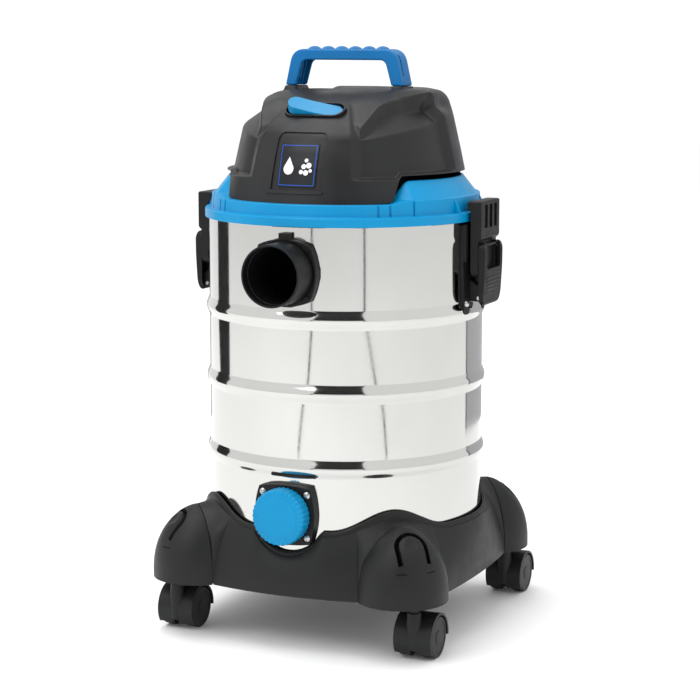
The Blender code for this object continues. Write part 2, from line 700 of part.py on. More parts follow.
def cover_section(azimuth):
    """The cover's section. In a recess an upright panel, a sloping shelf and a band under the arch take
    the place of the outline's own points."""
    away = from_front(azimuth)
    lift = ramp(away, 44, 51) * (1 - ramp(away, 126, 133))
    outline = cover_outline(azimuth)
    bottom = mix(outline[0][1], COVER_SIDE_BOTTOM, lift)
    lip, foot = max(0.4725, bottom + 0.001), max(0.4745, bottom + 0.003)
    outside = [(along(outline, z), z) for z in (bottom, lip, foot, 0.494)] + outline[4:9]
    if RECESS_FRONT < away < RECESS_REAR:
        heights = (foot, 0.494, panel_top(away), arch_inner(away))
        outside[2:6] = [(recess_radius(away, z), z) for z in heights]
        outside[6] = arch_outer(azimuth)
    inside = [(outside[0][0] - COVER_WALL, bottom)]
    inside += [(r - COVER_WALL, z) for r, z in outside[2:5]]
    inside += [(r - 0.0042, z - 0.0030) for r, z in outside[5:]]
    top = outline[-1][1]
    return [(0, top)] + outside[::-1] + inside + [(0, top - 0.0040)]


def cover_azimuths():
    half = [0, 8, 16, 23, 29.9, 31.5, 38, 44, 47.5, 51, 56, 62, 70, 78, 86.9, 88.5, 97, 108, 118, 126, 133,
            145, 156, 168, 180]
    return half + [360 - a for a in half[-2:0:-1]]


def make_lid(blue, rubber):
    step = 360 / TANK_SEGMENTS
    spread(collar_section, [step * (i + 0.5) for i in range(TANK_SEGMENTS)], "lid_collar", blue)
    ring("lid_gasket", 0.1395, 0.1449, TANK_TOP + GAP, LIP_TOP - 0.0032, rubber, TANK_SEGMENTS)


def switch_frame():
    """Places a shape made flat at the origin on the front shoulder, tilted towards the front."""
    return Matrix.Translation((0, SWITCH_Y, SWITCH_Z)) @ Matrix.Rotation(SWITCH_TILT, 4, "X")


def stadium(half_length, radius, steps=6):
    straight = half_length - radius
    return arc((straight, 0), radius, -90, 90, steps) + arc((-straight, 0), radius, 90, 270, steps)


def make_cover(grey):
    cover = spread(cover_section, cover_azimuths(), "motor_cover", grey)
    boss = rod("blower_boss_helper", (0, 0.090, BLOWER_Z), (0, 0.1255, BLOWER_Z), HOSE_PORT_R + 0.0065,
               None, 32)
    hollow = turned("blower_boss_cutter", ((0, 0.44), (0.1045, 0.44), (0.1045, 0.55), (0, 0.55)), None, 32)
    cut(boss, hollow)
    join(cover, boss)
    port_hole = rod("blower_hole_cutter", (0, 0.080, BLOWER_Z), (0, 0.140, BLOWER_Z), HOSE_PORT_R + GAP,
                    None, 24)
    switch_hole = prism("switch_hole_cutter", stadium(SWITCH_HALF_LENGTH + GAP, SWITCH_HALF_WIDTH + GAP),
                        -0.030, 0.030, "Z")
    switch_hole.data.transform(switch_frame())
    cord_hole = rod("cord_hole_cutter", (CORD_X, 0.085, CORD_Z), (CORD_X, 0.130, CORD_Z), 0.0075, None, 16)
    cut(cover, port_hole, switch_hole, cord_hole)
    for side in (-1, 1):
        post = prism(f"handle_boss_helper_{side}", handle_boss(side), HANDLE_Y - HANDLE_BOSS_HALF,
                     HANDLE_Y + HANDLE_BOSS_HALF, "Y")
        join(cover, post)


def handle_boss(side):
    """A low collar on the cover's crown under each handle post."""
    inner, outer = 0.0505, 0.0690
    return [(side * inner, 0.5480), (side * outer, 0.5430), (side * (outer - 0.001), HANDLE_FOOT_Z - GAP),
            (side * (inner + 0.001), HANDLE_FOOT_Z - GAP)]


def make_handle(blue):
    """Fixed carrying handle: a trapezoid arch, moulded as one piece, with finger bumps on top."""
    outside = [(-0.0660, HANDLE_FOOT_Z), (-0.0580, HANDLE_TOP - 0.012)]
    outside += arc((-0.0480, HANDLE_TOP - 0.0110), 0.0095, 165, 95, 3)
    bumps, first, last = 6, -0.044, 0.044
    for i in range(bumps):
        start = mix(first, last, i / bumps)
        end = mix(first, last, (i + 1) / bumps)
        outside += [(start, HANDLE_TOP - 0.0016), (mix(start, end, 0.3), HANDLE_TOP),
                    (mix(start, end, 0.7), HANDLE_TOP)]
    outside.append((last, HANDLE_TOP - 0.0016))
    outside += [(-x, z) for x, z in arc((-0.0480, HANDLE_TOP - 0.0110), 0.0095, 95, 165, 3)]
    outside += [(0.0580, HANDLE_TOP - 0.012), (0.0660, HANDLE_FOOT_Z)]
    inside = [(0.0535, HANDLE_FOOT_Z), (0.0475, HANDLE_UNDER - 0.004), (0.0440, HANDLE_UNDER)]
    outline = outside + inside + [(-x, z) for x, z in inside[::-1]]
    prism("carry_handle", outline, HANDLE_Y - HANDLE_DEPTH / 2, HANDLE_Y + HANDLE_DEPTH / 2, "Y", blue)


def make_switch(black, blue):
    """A cup let into the front shoulder, and the rocker, at rest pressed down on its right side."""
    wall = 0.0018
    housing = prism("switch_housing", stadium(SWITCH_HALF_LENGTH, SWITCH_HALF_WIDTH), -0.0150, 0.0012, "Z",
                    black)
    pocket = prism("switch_pocket_cutter", stadium(SWITCH_HALF_LENGTH - wall, SWITCH_HALF_WIDTH - wall),
                   -0.0125, 0.0050, "Z")
    for shape in (housing, pocket):
        shape.data.transform(switch_frame())
    cut(housing, pocket)

    half, half_width, end_top, crown = 0.0290, SWITCH_HALF_WIDTH - 0.0028, 0.0080, 0.0022
    top = [(share * half, end_top + crown * (1 - share * share)) for share in (-1, -0.6, -0.2, 0.2, 0.6, 1)]
    bottom = [(half, end_top - 0.0020), (0.008, -0.0062), (-0.008, -0.0062), (-half, end_top - 0.0020)]
    rocker = prism("switch_rocker", top + bottom, -half_width, half_width, "Y", blue)
    rounded = prism("rocker_keep", stadium(half, half_width), -0.030, 0.030, "Z")
    for shape in (rocker, rounded):
        shape.data.transform(switch_frame() @ Matrix.Rotation(ROCKER_TILT, 4, "Y"))
    keep_inside(rocker, rounded)
    hang(pivot("switch_axis", (0, SWITCH_Y, SWITCH_Z)), rocker)


def make_head_fittings(black):
    port = ring("blower_port", HOSE_BORE_R, HOSE_PORT_R, 0, BLOWER_FACE_Y - 0.100, black, 24)
    aim(port, (0, 1, 0), (0, 0.100, BLOWER_Z))
    collar = ring("blower_collar_helper", HOSE_PORT_R - 0.001, HOSE_PORT_R + 0.0055, 0, 0.004, None, 24)
    aim(collar, (0, 1, 0), (0, 0.1260, BLOWER_Z))
    join(port, collar)
    cord = ring("cord_inlet", 0.0040, 0.0070, 0, 0.022, black, 16)
    aim(cord, (0, 1, 0), (CORD_X, 0.093, CORD_Z))


def label_section(azimuth):
    heights = (0.4630, 0.4745, 0.4850, 0.4960, 0.5080)
    line = [(along(cover_outline(azimuth), z), z) for z in heights]
    return [(r + GAP, z) for r, z in line[::-1]] + [(r + GAP + 0.0010, z) for r, z in line]


def make_label(label):
    """A thin plate that follows the cover's curved front."""
    plate = spread(label_section, range(0, 360, 8), "label_plate", label)
    outline = rounded_rectangle(0.0205, 0.0210, 0.002, 2, (0, 0.4855))
    keep = prism("label_keep", outline, -0.140, -0.090, "Y")
    keep_inside(plate, keep)


# ---------------------------------------------------------------- motor, blower and filter

def make_motor(grey, steel, copper, black):
    """Universal motor on the lid, with its blower wheel below and its cooling fan on top."""
    floor = LID_FLOOR + LID_FLOOR_THICK + GAP
    housing = [(0.030, floor), (0.064, floor), (0.064, 0.4735), (0.0110, 0.4735), (0.0110, 0.4705),
               (0.0605, 0.4705), (0.0605, floor + 0.0025), (0.030, floor + 0.0025)]
    fan_housing = turned("fan_housing", housing, grey, 24)
    outlet = rod("fan_outlet_cutter", (0, 0.045, 0.462), (0, 0.080, 0.462), 0.0070, None, 12)
    cut(fan_housing, outlet)

    wheel = turned("fan_wheel", [(SHAFT_R + GAP, 0.4540), (0.010, 0.4540), (0.011, 0.4660), (0.055, 0.4660),
                                 (0.055, 0.4680), (SHAFT_R + GAP, 0.4680)], steel, 24)
    for i in range(8):
        blade = box(f"fan_blade_helper_{i}", (0.020, -0.0008, 0.4545), (0.054, 0.0008, 0.4665))
        blade.data.transform(Matrix.Rotation(math.radians(45 * i), 4, "Z"))
        join(wheel, blade)

    turned("motor_mount", [(0.0116, 0.4740), (0.072, 0.4740), (0.072, 0.4775), (0.0116, 0.4775)], grey, 24)
    ring("bearing_lower", SHAFT_R + 0.0005, 0.0105, 0.4708, 0.4778, steel, 20)
    stator = [(0.0275, 0.4782), (0.0420, 0.4782), (0.0420, 0.5330), (0.0096, 0.5330), (0.0096, 0.5270),
              (0.0275, 0.5240)]
    turned("motor_stator", stator, steel, 24)
    ring("bearing_upper", SHAFT_R + 0.0005, 0.0092, 0.5272, 0.5326, steel, 20)
    shaft = rod("motor_shaft", (0, 0, 0.4520), (0, 0, 0.5460), SHAFT_R, steel, 16)
    armature = ring("motor_armature", SHAFT_R + GAP, 0.0262, 0.4830, 0.5160, copper, 24)
    fan = turned("cooling_fan", [(SHAFT_R + GAP, 0.5370), (0.036, 0.5370), (0.036, 0.5385), (0.010, 0.5400),
                                 (0.010, 0.5440), (SHAFT_R + GAP, 0.5440)], black, 24)
    hang(pivot("motor_axis", (0, 0, 0.500)), shaft, armature, fan, wheel)


def make_filter(black, paper, white):
    """Cage below the lid with its float, and the pleated cartridge that its plate and knob hold on."""
    seat_r, top, wall = 0.0150, LID_FLOOR - GAP, 0.0025
    section = [(seat_r, top - 0.003), (CAGE_R - wall, top - 0.003), (CAGE_R - wall, FILTER_BOTTOM + 0.001),
               (0.0065, FILTER_BOTTOM + 0.001), (0.0065, FILTER_BOTTOM - 0.002),
               (CAGE_R, FILTER_BOTTOM - 0.002),
               (CAGE_R, top - 0.0042), (0.060, top - 0.0042), (0.060, top), (seat_r, top)]
    cage = turned("filter_cage", section, black, 18)
    for i in range(3):
        window = box(f"cage_window_cutter_{i}", (-0.080, -0.011, FILTER_BOTTOM + 0.010),
                     (0.080, 0.011, FILTER_TOP - 0.014))
        window.data.transform(Matrix.Rotation(math.radians(60 * i + 30), 4, "Z"))
        cut(cage, window)

    steps = 8
    ball = [(FLOAT_R * math.sin(math.pi * i / steps), FLOAT_Z + FLOAT_R * math.cos(math.pi * i / steps))
            for i in range(1, steps)]
    float_ball = turned("float_ball", [(0, FLOAT_Z + FLOAT_R)] + ball + [(0, FLOAT_Z - FLOAT_R)], white, 16)
    hang(pivot("float_axis", (0, 0, FLOAT_Z)), float_ball)

    pleats = 30

    def pleat(azimuth):
        crest = round(azimuth * 2 * pleats / 360) % 2 == 0
        outer = 0.0620 if crest else 0.0540
        inner = 0.0470 if crest else 0.0420
        return [(inner, FILTER_BOTTOM), (outer, FILTER_BOTTOM), (outer, FILTER_TOP), (inner, FILTER_TOP)]

    spread(pleat, [360 / (2 * pleats) * i for i in range(2 * pleats)], "filter_cartridge", paper)
    knob = [(0, 0.3180), (0.0130, 0.3180), (0.0145, 0.3200), (0.0145, 0.3350), (0.0640, 0.3440),
            (0.0640, 0.3495), (0.0400, 0.3495), (0.0060, 0.3480), (0.0060, 0.3525), (0, 0.3525)]
    turned("filter_retainer", knob, black, 24)


# ---------------------------------------------------------------- latches

def mirrored(outline, side):
    return [(side * u, v) for u, v in outline]


def make_latches(black, steel):
    for side, label in ((-1, "left"), (1, "right")):
        make_latch(side, label, black, steel)


def make_latch(side, label, black, steel):
    """Bracket on the tank, the hook arm that swings out on it, and the pull lever on the arm."""
    bracket_outer = TANK_R + 0.0034
    bracket = ring(f"latch_bracket_{label}", TANK_R + GAP, bracket_outer, 0.3458, 0.4245, black,
                   TANK_SEGMENTS)
    low, high = sorted((side * 0.090, side * 0.150))
    keep = box(f"bracket_keep_{label}", (low, -BRACKET_HALF_WIDTH, 0.34), (high, BRACKET_HALF_WIDTH, 0.43))
    keep_inside(bracket, keep)
    for end in (-1, 1):
        low, high = sorted((side * 0.1440, side * (LATCH_PIVOT_X + 0.0038)))
        ear = box(f"bracket_ear_{label}_{end}", (low, end * 0.0165 - 0.0025, LATCH_PIVOT_Z - 0.0035),
                  (high, end * 0.0165 + 0.0025, LATCH_PIVOT_Z + 0.0120))
        join(bracket, ear)
    pin_at = Vector((side * LATCH_PIVOT_X, 0, LATCH_PIVOT_Z))
    half = Vector((0, 0.0205, 0))
    cut(bracket, rod(f"bracket_pin_cutter_{label}", pin_at - half, pin_at + half, 0.0020 + GAP, None, 12))
    rod(f"latch_pin_{label}", pin_at - half * 0.93, pin_at + half * 0.93, 0.0020, steel, 12)

    back = bracket_outer + 0.0022
    head = [(HOOK_REACH_X, HOOK_UNDER_Z), (back, HOOK_UNDER_Z), (back, 0.3700), (0.1565, 0.3700),
            (0.1565, 0.4085), (0.1600, 0.4105), (0.1600, HOOK_TOP_Z - 0.001), (0.1590, HOOK_TOP_Z),
            (HOOK_REACH_X + 0.0018, HOOK_TOP_Z), (HOOK_REACH_X, HOOK_TOP_Z - 0.0025)]
    arm = prism(f"latch_hook_{label}", mirrored(head, side), -LATCH_HALF_WIDTH, LATCH_HALF_WIDTH, "Y", black)
    neck = [(back, 0.3800)] + arc((LATCH_PIVOT_X, LATCH_PIVOT_Z), 0.0051, 180, 360, 6)
    neck += [(0.1565, 0.3800)]
    join(arm, prism(f"hook_neck_{label}", mirrored(neck, side), -0.0130, 0.0130, "Y"))
    cut(arm, rod(f"hook_pin_cutter_{label}", pin_at - half, pin_at + half, 0.0020 + GAP, None, 12))

    lever_at = Vector((side * LEVER_PIVOT_X, 0, LEVER_PIVOT_Z))
    for end in (-1, 1):
        low, high = sorted((side * 0.1560, side * (LEVER_PIVOT_X + 0.0018)))
        lug = box(f"hook_lug_{label}_{end}", (low, end * 0.0165 - 0.0022, LEVER_PIVOT_Z - 0.0030),
                  (high, end * 0.0165 + 0.0022, LEVER_PIVOT_Z + 0.0030))
        join(arm, lug)
    reach = Vector((0, 0.0243, 0))
    cut(arm, rod(f"lug_pin_cutter_{label}", lever_at - reach, lever_at + reach, 0.0014 + GAP, None, 10))

    shell = arc((LEVER_PIVOT_X, LEVER_PIVOT_Z), 0.0030, 180, 0, 6)
    shell += [(0.1645, 0.3980), (0.1645, 0.3800), (0.1630, 0.3560), (0.1618, 0.3440), (0.1600, 0.3415),
              (0.1572, 0.3435)]
    lever = prism(f"latch_lever_{label}", mirrored(shell, side), -LATCH_HALF_WIDTH + 0.0008,
                  LATCH_HALF_WIDTH - 0.0008, "Y", black)
    low, high = sorted((side * 0.1500, side * 0.1606))
    hollow = box(f"lever_hollow_{label}", (low, -0.0230, 0.3300), (high, 0.0230, 0.4200))
    low, high = sorted((side * 0.1500, side * 0.1700))
    opening = box(f"lever_opening_{label}", (low, -0.0195, 0.3795), (high, 0.0195, 0.4200))
    cut(lever, hollow, opening)
    # The lever's trunnions are moulded on, and run across inside it through the hook's lugs.
    join(lever, rod(f"lever_trunnion_{label}", lever_at - reach, lever_at + reach, 0.0014, None, 10))
    hang(pivot(f"latch_axis_{label}", pin_at), arm)
    hang(pivot(f"lever_axis_{label}", lever_at), lever)


# ---------------------------------------------------------------- assembly

def main():
    clear_scene()
    steel = material("polished_steel", STEEL, 0.12, 1.0)
    blue = material("blue_plastic", BLUE, 0.35)
    handle_blue = material("handle_plastic", HANDLE_BLUE, 0.40)
    grey = material("grey_plastic", HEAD_GREY, 0.45)
    dolly_grey = material("dolly_plastic", DOLLY_GREY, 0.45)
    black = material("black_plastic", BLACK, 0.40)
    rubber = material("rubber", BLACK, 0.80)
    tread = material("caster_plastic", BLACK, 0.50)
    label = material("label", BLACK, 0.30)
    copper = material("copper", COPPER, 0.40, 1.0)
    paper = material("filter_paper", (0.75, 0.73, 0.66), 0.90)
    white = material("float_plastic", (0.80, 0.80, 0.78), 0.50)

    make_tank(steel)
    make_inlet(black, rubber)
    make_drain(black, rubber, blue)
    make_dolly(dolly_grey)
    make_casters(black, tread, steel)
    make_lid(blue, rubber)
    make_cover(grey)
    make_handle(handle_blue)
    make_switch(black, blue)
    make_head_fittings(black)
    make_label(label)
    make_motor(grey, steel, copper, black)
    make_filter(black, paper, white)
    make_latches(black, steel)


main()
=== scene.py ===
"""Looks of the shop vacuum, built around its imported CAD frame.

Metres, +Z up, front towards -Y, and the origin on the floor under the tank's axis. Azimuths are in
degrees from the front (-Y) towards +X.
"""

import json
import math

import bmesh
import bpy
from mathutils import Matrix, Vector


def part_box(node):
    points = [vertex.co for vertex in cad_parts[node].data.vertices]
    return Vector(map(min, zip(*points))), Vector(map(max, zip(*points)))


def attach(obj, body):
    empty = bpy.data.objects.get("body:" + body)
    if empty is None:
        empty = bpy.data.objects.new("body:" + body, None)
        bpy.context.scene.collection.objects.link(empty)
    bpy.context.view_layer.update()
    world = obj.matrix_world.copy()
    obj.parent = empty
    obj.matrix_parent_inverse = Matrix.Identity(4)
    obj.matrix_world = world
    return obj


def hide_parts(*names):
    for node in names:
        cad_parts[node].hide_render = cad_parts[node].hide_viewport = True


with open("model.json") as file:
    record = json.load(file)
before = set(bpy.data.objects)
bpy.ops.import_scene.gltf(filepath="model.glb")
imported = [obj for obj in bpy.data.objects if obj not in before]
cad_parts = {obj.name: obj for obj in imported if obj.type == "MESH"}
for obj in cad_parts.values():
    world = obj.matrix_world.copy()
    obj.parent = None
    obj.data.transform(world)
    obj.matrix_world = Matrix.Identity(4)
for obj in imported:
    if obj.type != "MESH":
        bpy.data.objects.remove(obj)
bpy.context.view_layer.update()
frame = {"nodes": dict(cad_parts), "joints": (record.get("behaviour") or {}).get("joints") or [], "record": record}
JOINTS = {joint["name"]: joint for joint in frame["joints"]}
SLOTS = {entry["slot"]: entry for entry in frame["record"]["materials"]}
NODE_SLOTS = {entry["node"]: entry["material_slot"] for entry in frame["record"]["subparts"]}
SIDES = ((-1, "left"), (1, "right"))
CORNERS = [(f"{end}_{side}", sx, sy) for sy, end in ((-1, "front"), (1, "rear")) for sx, side in SIDES]

# Tank
TANK_R = 0.1430
TANK_WALL = 0.0010
BEADS = (0.185, 0.261, 0.335)
BEAD_HALF = 0.0100
BEAD_OUT = 0.0030

# Ports
PORT_BORE_R = 0.0285
PORT_R = 0.0310
DRAIN_BORE_R = 0.0170
FLANGE_GAP = 0.0008

# Motor cover: (radius, height) up the front, the rear, and the two sides behind the recesses, matched
# point by point
COVER_FRONT = ((0.1285, 0.4480), (0.1225, 0.4720), (0.1195, 0.4840), (0.1145, 0.5000), (0.1082, 0.5145),
               (0.0980, 0.5245), (0.0825, 0.5350), (0.0630, 0.5455), (0.0350, 0.5545), (0.0, 0.5575))
COVER_REAR = ((0.1270, 0.4515), (0.1235, 0.4750), (0.1200, 0.4920), (0.1160, 0.5080), (0.1110, 0.5250),
              (0.1055, 0.5400), (0.0950, 0.5510), (0.0700, 0.5585), (0.0350, 0.5592), (0.0, 0.5575))
COVER_RIGHT = ((0.1270, 0.4515), (0.1235, 0.4750), (0.1200, 0.4920), (0.1162, 0.5100), (0.1108, 0.5340),
               (0.1065, 0.5480), (0.1000, 0.5552), (0.0840, 0.5588), (0.0500, 0.5575), (0.0, 0.5575))
COVER_LEFT = ((0.1270, 0.4515), (0.1235, 0.4750), (0.1200, 0.4920), (0.1162, 0.5060), (0.1120, 0.5155),
              (0.1028, 0.5225), (0.0835, 0.5285), (0.0805, 0.5465), (0.0550, 0.5550), (0.0, 0.5575))
COVER_WALL = 0.0030
PANEL_R = 0.1170
PANEL_FOOT = 0.4735
SWITCH_TILT = math.radians(34)
ROCKER_TILT = math.radians(14)

# Dolly
CUP_R = 0.1446
CUP_WALL = 0.0030
FOOT_R = 0.0465
FOOT_SHOULDER = 0.065
FOOT_TOP = 0.133
BASE_FRONT_R = 0.1615
BASE_SIDE_R = 0.1530
RIM_LOW = 0.123
RIM_RISE = 0.020
SCALLOP_R = 0.0385

# Steps for fine shapes
ROUND = 96
FINE = 192


# ---------------------------------------------------------------- modelling tools

def add(name, bm, smooth=35):
    """Makes an object of a bmesh, with its faces pointing out and its round sides smooth."""
    bmesh.ops.recalc_face_normals(bm, faces=bm.faces)
    mesh = bpy.data.meshes.new(name)
    bm.to_mesh(mesh)
    bm.free()
    obj = bpy.data.objects.new(name, mesh)
    bpy.context.scene.collection.objects.link(obj)
    return smooth_sides(obj, smooth)


def smooth_sides(obj, angle=35):
    """Smooth shading, with edges sharper than an angle kept crisp."""
    obj.data.shade_smooth()
    obj.data.set_sharp_from_angle(angle=math.radians(angle))
    return obj


def settle(obj, smooth=35):
    """Applies an object's modifiers."""
    graph = bpy.context.evaluated_depsgraph_get()
    mesh = bpy.data.meshes.new_from_object(obj.evaluated_get(graph))
    obj.modifiers.clear()
    old = obj.data
    obj.data = mesh
    bpy.data.meshes.remove(old)
    return smooth_sides(obj, smooth)


def carve(target, operation, *tools):
    """Cuts, joins or intersects an object with others, which are used up."""
    for tool in tools:
        modifier = target.modifiers.new(tool.name, "BOOLEAN")
        modifier.operation = operation
        modifier.solver = "EXACT"
        modifier.object = tool
    settle(target)
    for tool in tools:
        bpy.data.objects.remove(tool, do_unlink=True)
    return target


def join(target, *tools):
    return carve(target, "UNION", *tools)


def cut(target, *tools):
    return carve(target, "DIFFERENCE", *tools)


def keep_inside(target, *tools):
    return carve(target, "INTERSECT", *tools)


def soften(obj, width, segments=3, angle=35):
    """Rounds an object's sharp edges."""
    modifier = obj.modifiers.new("edges", "BEVEL")
    modifier.width = width
    modifier.segments = segments
    modifier.limit_method = "ANGLE"
    modifier.angle_limit = math.radians(angle)
    modifier.miter_outer = "MITER_ARC"
    return settle(obj, 40)


def mix(a, b, share):
    return a + (b - a) * share


def ramp(value, low, high):
    """Rises smoothly from 0 at low to 1 at high."""
    t = min(max((value - low) / (high - low), 0.0), 1.0)
    return t * t * (3 - 2 * t)


def by_first(points, x):
    """The second value at x, on a list of (x, value) points that rises in x."""
    for (x0, v0), (x1, v1) in zip(points, points[1:]):
        if x <= x1:
            return mix(v0, v1, min(max((x - x0) / (x1 - x0), 0.0), 1.0))
    return points[-1][1]


def from_front(azimuth):
    """Degrees from the front, the same on the left and on the right."""
    return abs((azimuth + 180) % 360 - 180)


def arc(centre, radius, start, end, steps):
    """Points along an arc, with its angles in degrees."""
    angles = [math.radians(start + (end - start) * i / steps) for i in range(steps + 1)]
    return [(centre[0] + radius * math.cos(a), centre[1] + radius * math.sin(a)) for a in angles]


def fillet(points, reach, steps=4, closed=True):
    """Rounds the corners of an outline. A point may bring its own reach as a third value."""
    made = []
    for i, point in enumerate(points):
        own = point[2] if len(point) > 2 else reach
        here = Vector(point[:2])
        if own <= 0 or (not closed and i in (0, len(points) - 1)):
            made.append(tuple(here))
            continue
        before = Vector(points[i - 1][:2]) - here
        after = Vector(points[(i + 1) % len(points)][:2]) - here
        short = min(own, 0.45 * before.length, 0.45 * after.length)
        start = here + before.normalized() * short
        end = here + after.normalized() * short
        for k in range(steps + 1):
            t = k / steps
            made.append(tuple(start * (1 - t) ** 2 + here * 2 * t * (1 - t) + end * t * t))
    return made


def spread(name, section_at, azimuths, centre=(0.0, 0.0), smooth=35):
    """Joins one (radius, height) section for each azimuth. A section that starts and ends on the axis
    makes a solid disc, and any other closes into a ring."""
    bm = bmesh.new()
    loops = []
    for azimuth in azimuths:
        across, along = math.sin(math.radians(azimuth)), -math.cos(math.radians(azimuth))
        loops.append([bm.verts.new((centre[0] + r * across, centre[1] + r * along, z))
                      for r, z in section_at(azimuth)])
    count = len(loops[0])
    first = section_at(azimuths[0])
    on_axis = first[0][0] == 0 and first[-1][0] == 0
    for index, loop in enumerate(loops):
        after = loops[(index + 1) % len(loops)]
        for j in range(count - 1 if on_axis else count):
            k = (j + 1) % count
            bm.faces.new((loop[j], after[j], after[k], loop[k]))
    bmesh.ops.remove_doubles(bm, verts=bm.verts, dist=1e-6)
    return add(name, bm, smooth)


def even(count):
    """Azimuths all round in equal steps."""
    return [360 / count * i for i in range(count)]


def turned(name, section, segments=ROUND, centre=(0.0, 0.0)):
    """A section, turned round a line along Z."""
    return spread(name, lambda azimuth: section, even(segments), centre)


def aim(obj, axis, origin):
    """Lays a shape that was turned round +Z along another axis, and moves it to its place."""
    turn = Vector((0, 0, 1)).rotation_difference(Vector(axis)).to_matrix().to_4x4()
    obj.data.transform(Matrix.Translation(origin) @ turn)
    return obj


# Put a third coordinate, along the named axis, to two that are given in X, Y, Z order
AXES = {"X": lambda u, v, w: (w, u, v), "Y": lambda u, v, w: (u, w, v), "Z": lambda u, v, w: (u, v, w)}


def bar(axis, across, first, last, radius, segments=48, edge=0.0):
    """A round bar along an axis, with softened ends."""
    start, end = (Vector(AXES[axis](*across, w)) for w in (first, last))
    length = (end - start).length
    section = fillet([(0, 0, 0), (radius, 0), (radius, length), (0, length, 0)], edge, 3)
    return aim(turned("bar", section, segments), end - start, start)


def prism(name, outline, low, high, axis):
    """Extrudes an outline between two positions on an axis."""
    bm = bmesh.new()
    ends = [[bm.verts.new(AXES[axis](u, v, w)) for u, v in outline] for w in (low, high)]
    for end in ends:
        bm.faces.new(end)
    for i in range(len(outline)):
        k = (i + 1) % len(outline)
        bm.faces.new((ends[0][i], ends[0][k], ends[1][k], ends[1][i]))
    return add(name, bm)


def box(name, low, high):
    """A block between two corners, given in any order."""
    xs, ys, zs = (sorted(pair) for pair in zip(low, high))
    return prism(name, [(xs[0], ys[0]), (xs[1], ys[0]), (xs[1], ys[1]), (xs[0], ys[1])], *zs, "Z")


def flipped(outline, side):
    """An outline as it is for the right side, or mirrored for the left."""
    return [(side * point[0], *point[1:]) for point in outline]


def moved(obj, matrix):
    """Moves a shape's points, and keeps its faces pointing out when it is mirrored."""
    obj.data.transform(matrix)
    if matrix.determinant() < 0:
        obj.data.flip_normals()
    return obj


def merged(name, objects):
    """One object of several that belong together, such as a row of screws."""
    bm = bmesh.new()
    for obj in objects:
        settle(obj, 40)
        bm.from_mesh(obj.data)
        bpy.data.objects.remove(obj, do_unlink=True)
    return add(name, bm, 40)


def show(obj, body, slot, *nodes):
    """Gives a piece its finish and its body, and hides the CAD nodes that it stands for."""
    obj.data.materials.clear()
    obj.data.materials.append(FINISHES[slot])
    obj.modifiers.new("flats", "WEIGHTED_NORMAL").keep_sharp = True
    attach(obj, body)
    if nodes:
        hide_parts(*nodes)
    return obj


def bulged_square(half_x, half_z, corner, centre=(0.0, 0.0), steps=10):
    """A square whose four sides bulge between corners at a given distance from the middle."""
    points = []
    for quarter in range(4):
        for i in range(steps):
            angle = math.radians(45 + 90 * quarter + 90 * i / steps)
            side = half_z if quarter % 2 == 0 else half_x
            share = abs(2 * i / steps - 1) ** 2.2
            radius = mix(side, corner, share)
            points.append((centre[0] + radius * math.cos(angle), centre[1] + radius * math.sin(angle)))
    return points


# ---------------------------------------------------------------- finishes

def nodes_of(name, roughness, metallic=0.0):
    """A new finish, its node tree and its shader."""
    made = bpy.data.materials.new(name)
    made.use_nodes = True
    shader = made.node_tree.nodes["Principled BSDF"]
    shader.inputs["Roughness"].default_value = roughness
    shader.inputs["Metallic"].default_value = metallic
    return made, made.node_tree, shader


def noise(tree, scale, detail=4.0, roughness=0.55, stretch=(1, 1, 1)):
    """A noise that sits on the object, with its own stretch along X, Y and Z."""
    where = tree.nodes.new("ShaderNodeTexCoord")
    mapping = tree.nodes.new("ShaderNodeMapping")
    mapping.inputs["Scale"].default_value = stretch
    texture = tree.nodes.new("ShaderNodeTexNoise")
    texture.inputs["Scale"].default_value = scale
    texture.inputs["Detail"].default_value = detail
    texture.inputs["Roughness"].default_value = roughness
    tree.links.new(where.outputs["Object"], mapping.inputs["Vector"])
    tree.links.new(mapping.outputs["Vector"], texture.inputs["Vector"])
    return texture.outputs["Fac"]


def spanned(tree, value, low, high, from_low=0.3, from_high=0.7):
    """Maps a value's middle range to another range."""
    span = tree.nodes.new("ShaderNodeMapRange")
    span.inputs["From Min"].default_value = from_low
    span.inputs["From Max"].default_value = from_high
    span.inputs["To Min"].default_value = low
    span.inputs["To Max"].default_value = high
    tree.links.new(value, span.inputs["Value"])
    return span.outputs["Result"]


def two_tones(tree, shader, value, colour, dark, light):
    """Lets a value mix the base colour from a darker and a lighter tone of one colour."""
    tones = tree.nodes.new("ShaderNodeValToRGB")
    for element, position, factor in zip(tones.color_ramp.elements, (0.3, 0.7), (dark, light)):
        element.position = position
        element.color = (*(min(channel * factor, 1.0) for channel in colour), 1)
    tree.links.new(value, tones.inputs["Fac"])
    tree.links.new(tones.outputs["Color"], shader.inputs["Base Color"])


def bumped(tree, shader, value, distance, strength=1.0, before=None):
    """Raises the surface by a value, on top of an earlier bump where there is one."""
    bump = tree.nodes.new("ShaderNodeBump")
    bump.inputs["Strength"].default_value = strength
    bump.inputs["Distance"].default_value = distance
    tree.links.new(value, bump.inputs["Height"])
    if before:
        tree.links.new(before, bump.inputs["Normal"])
    tree.links.new(bump.outputs["Normal"], shader.inputs["Normal"])
    return bump.outputs["Normal"]


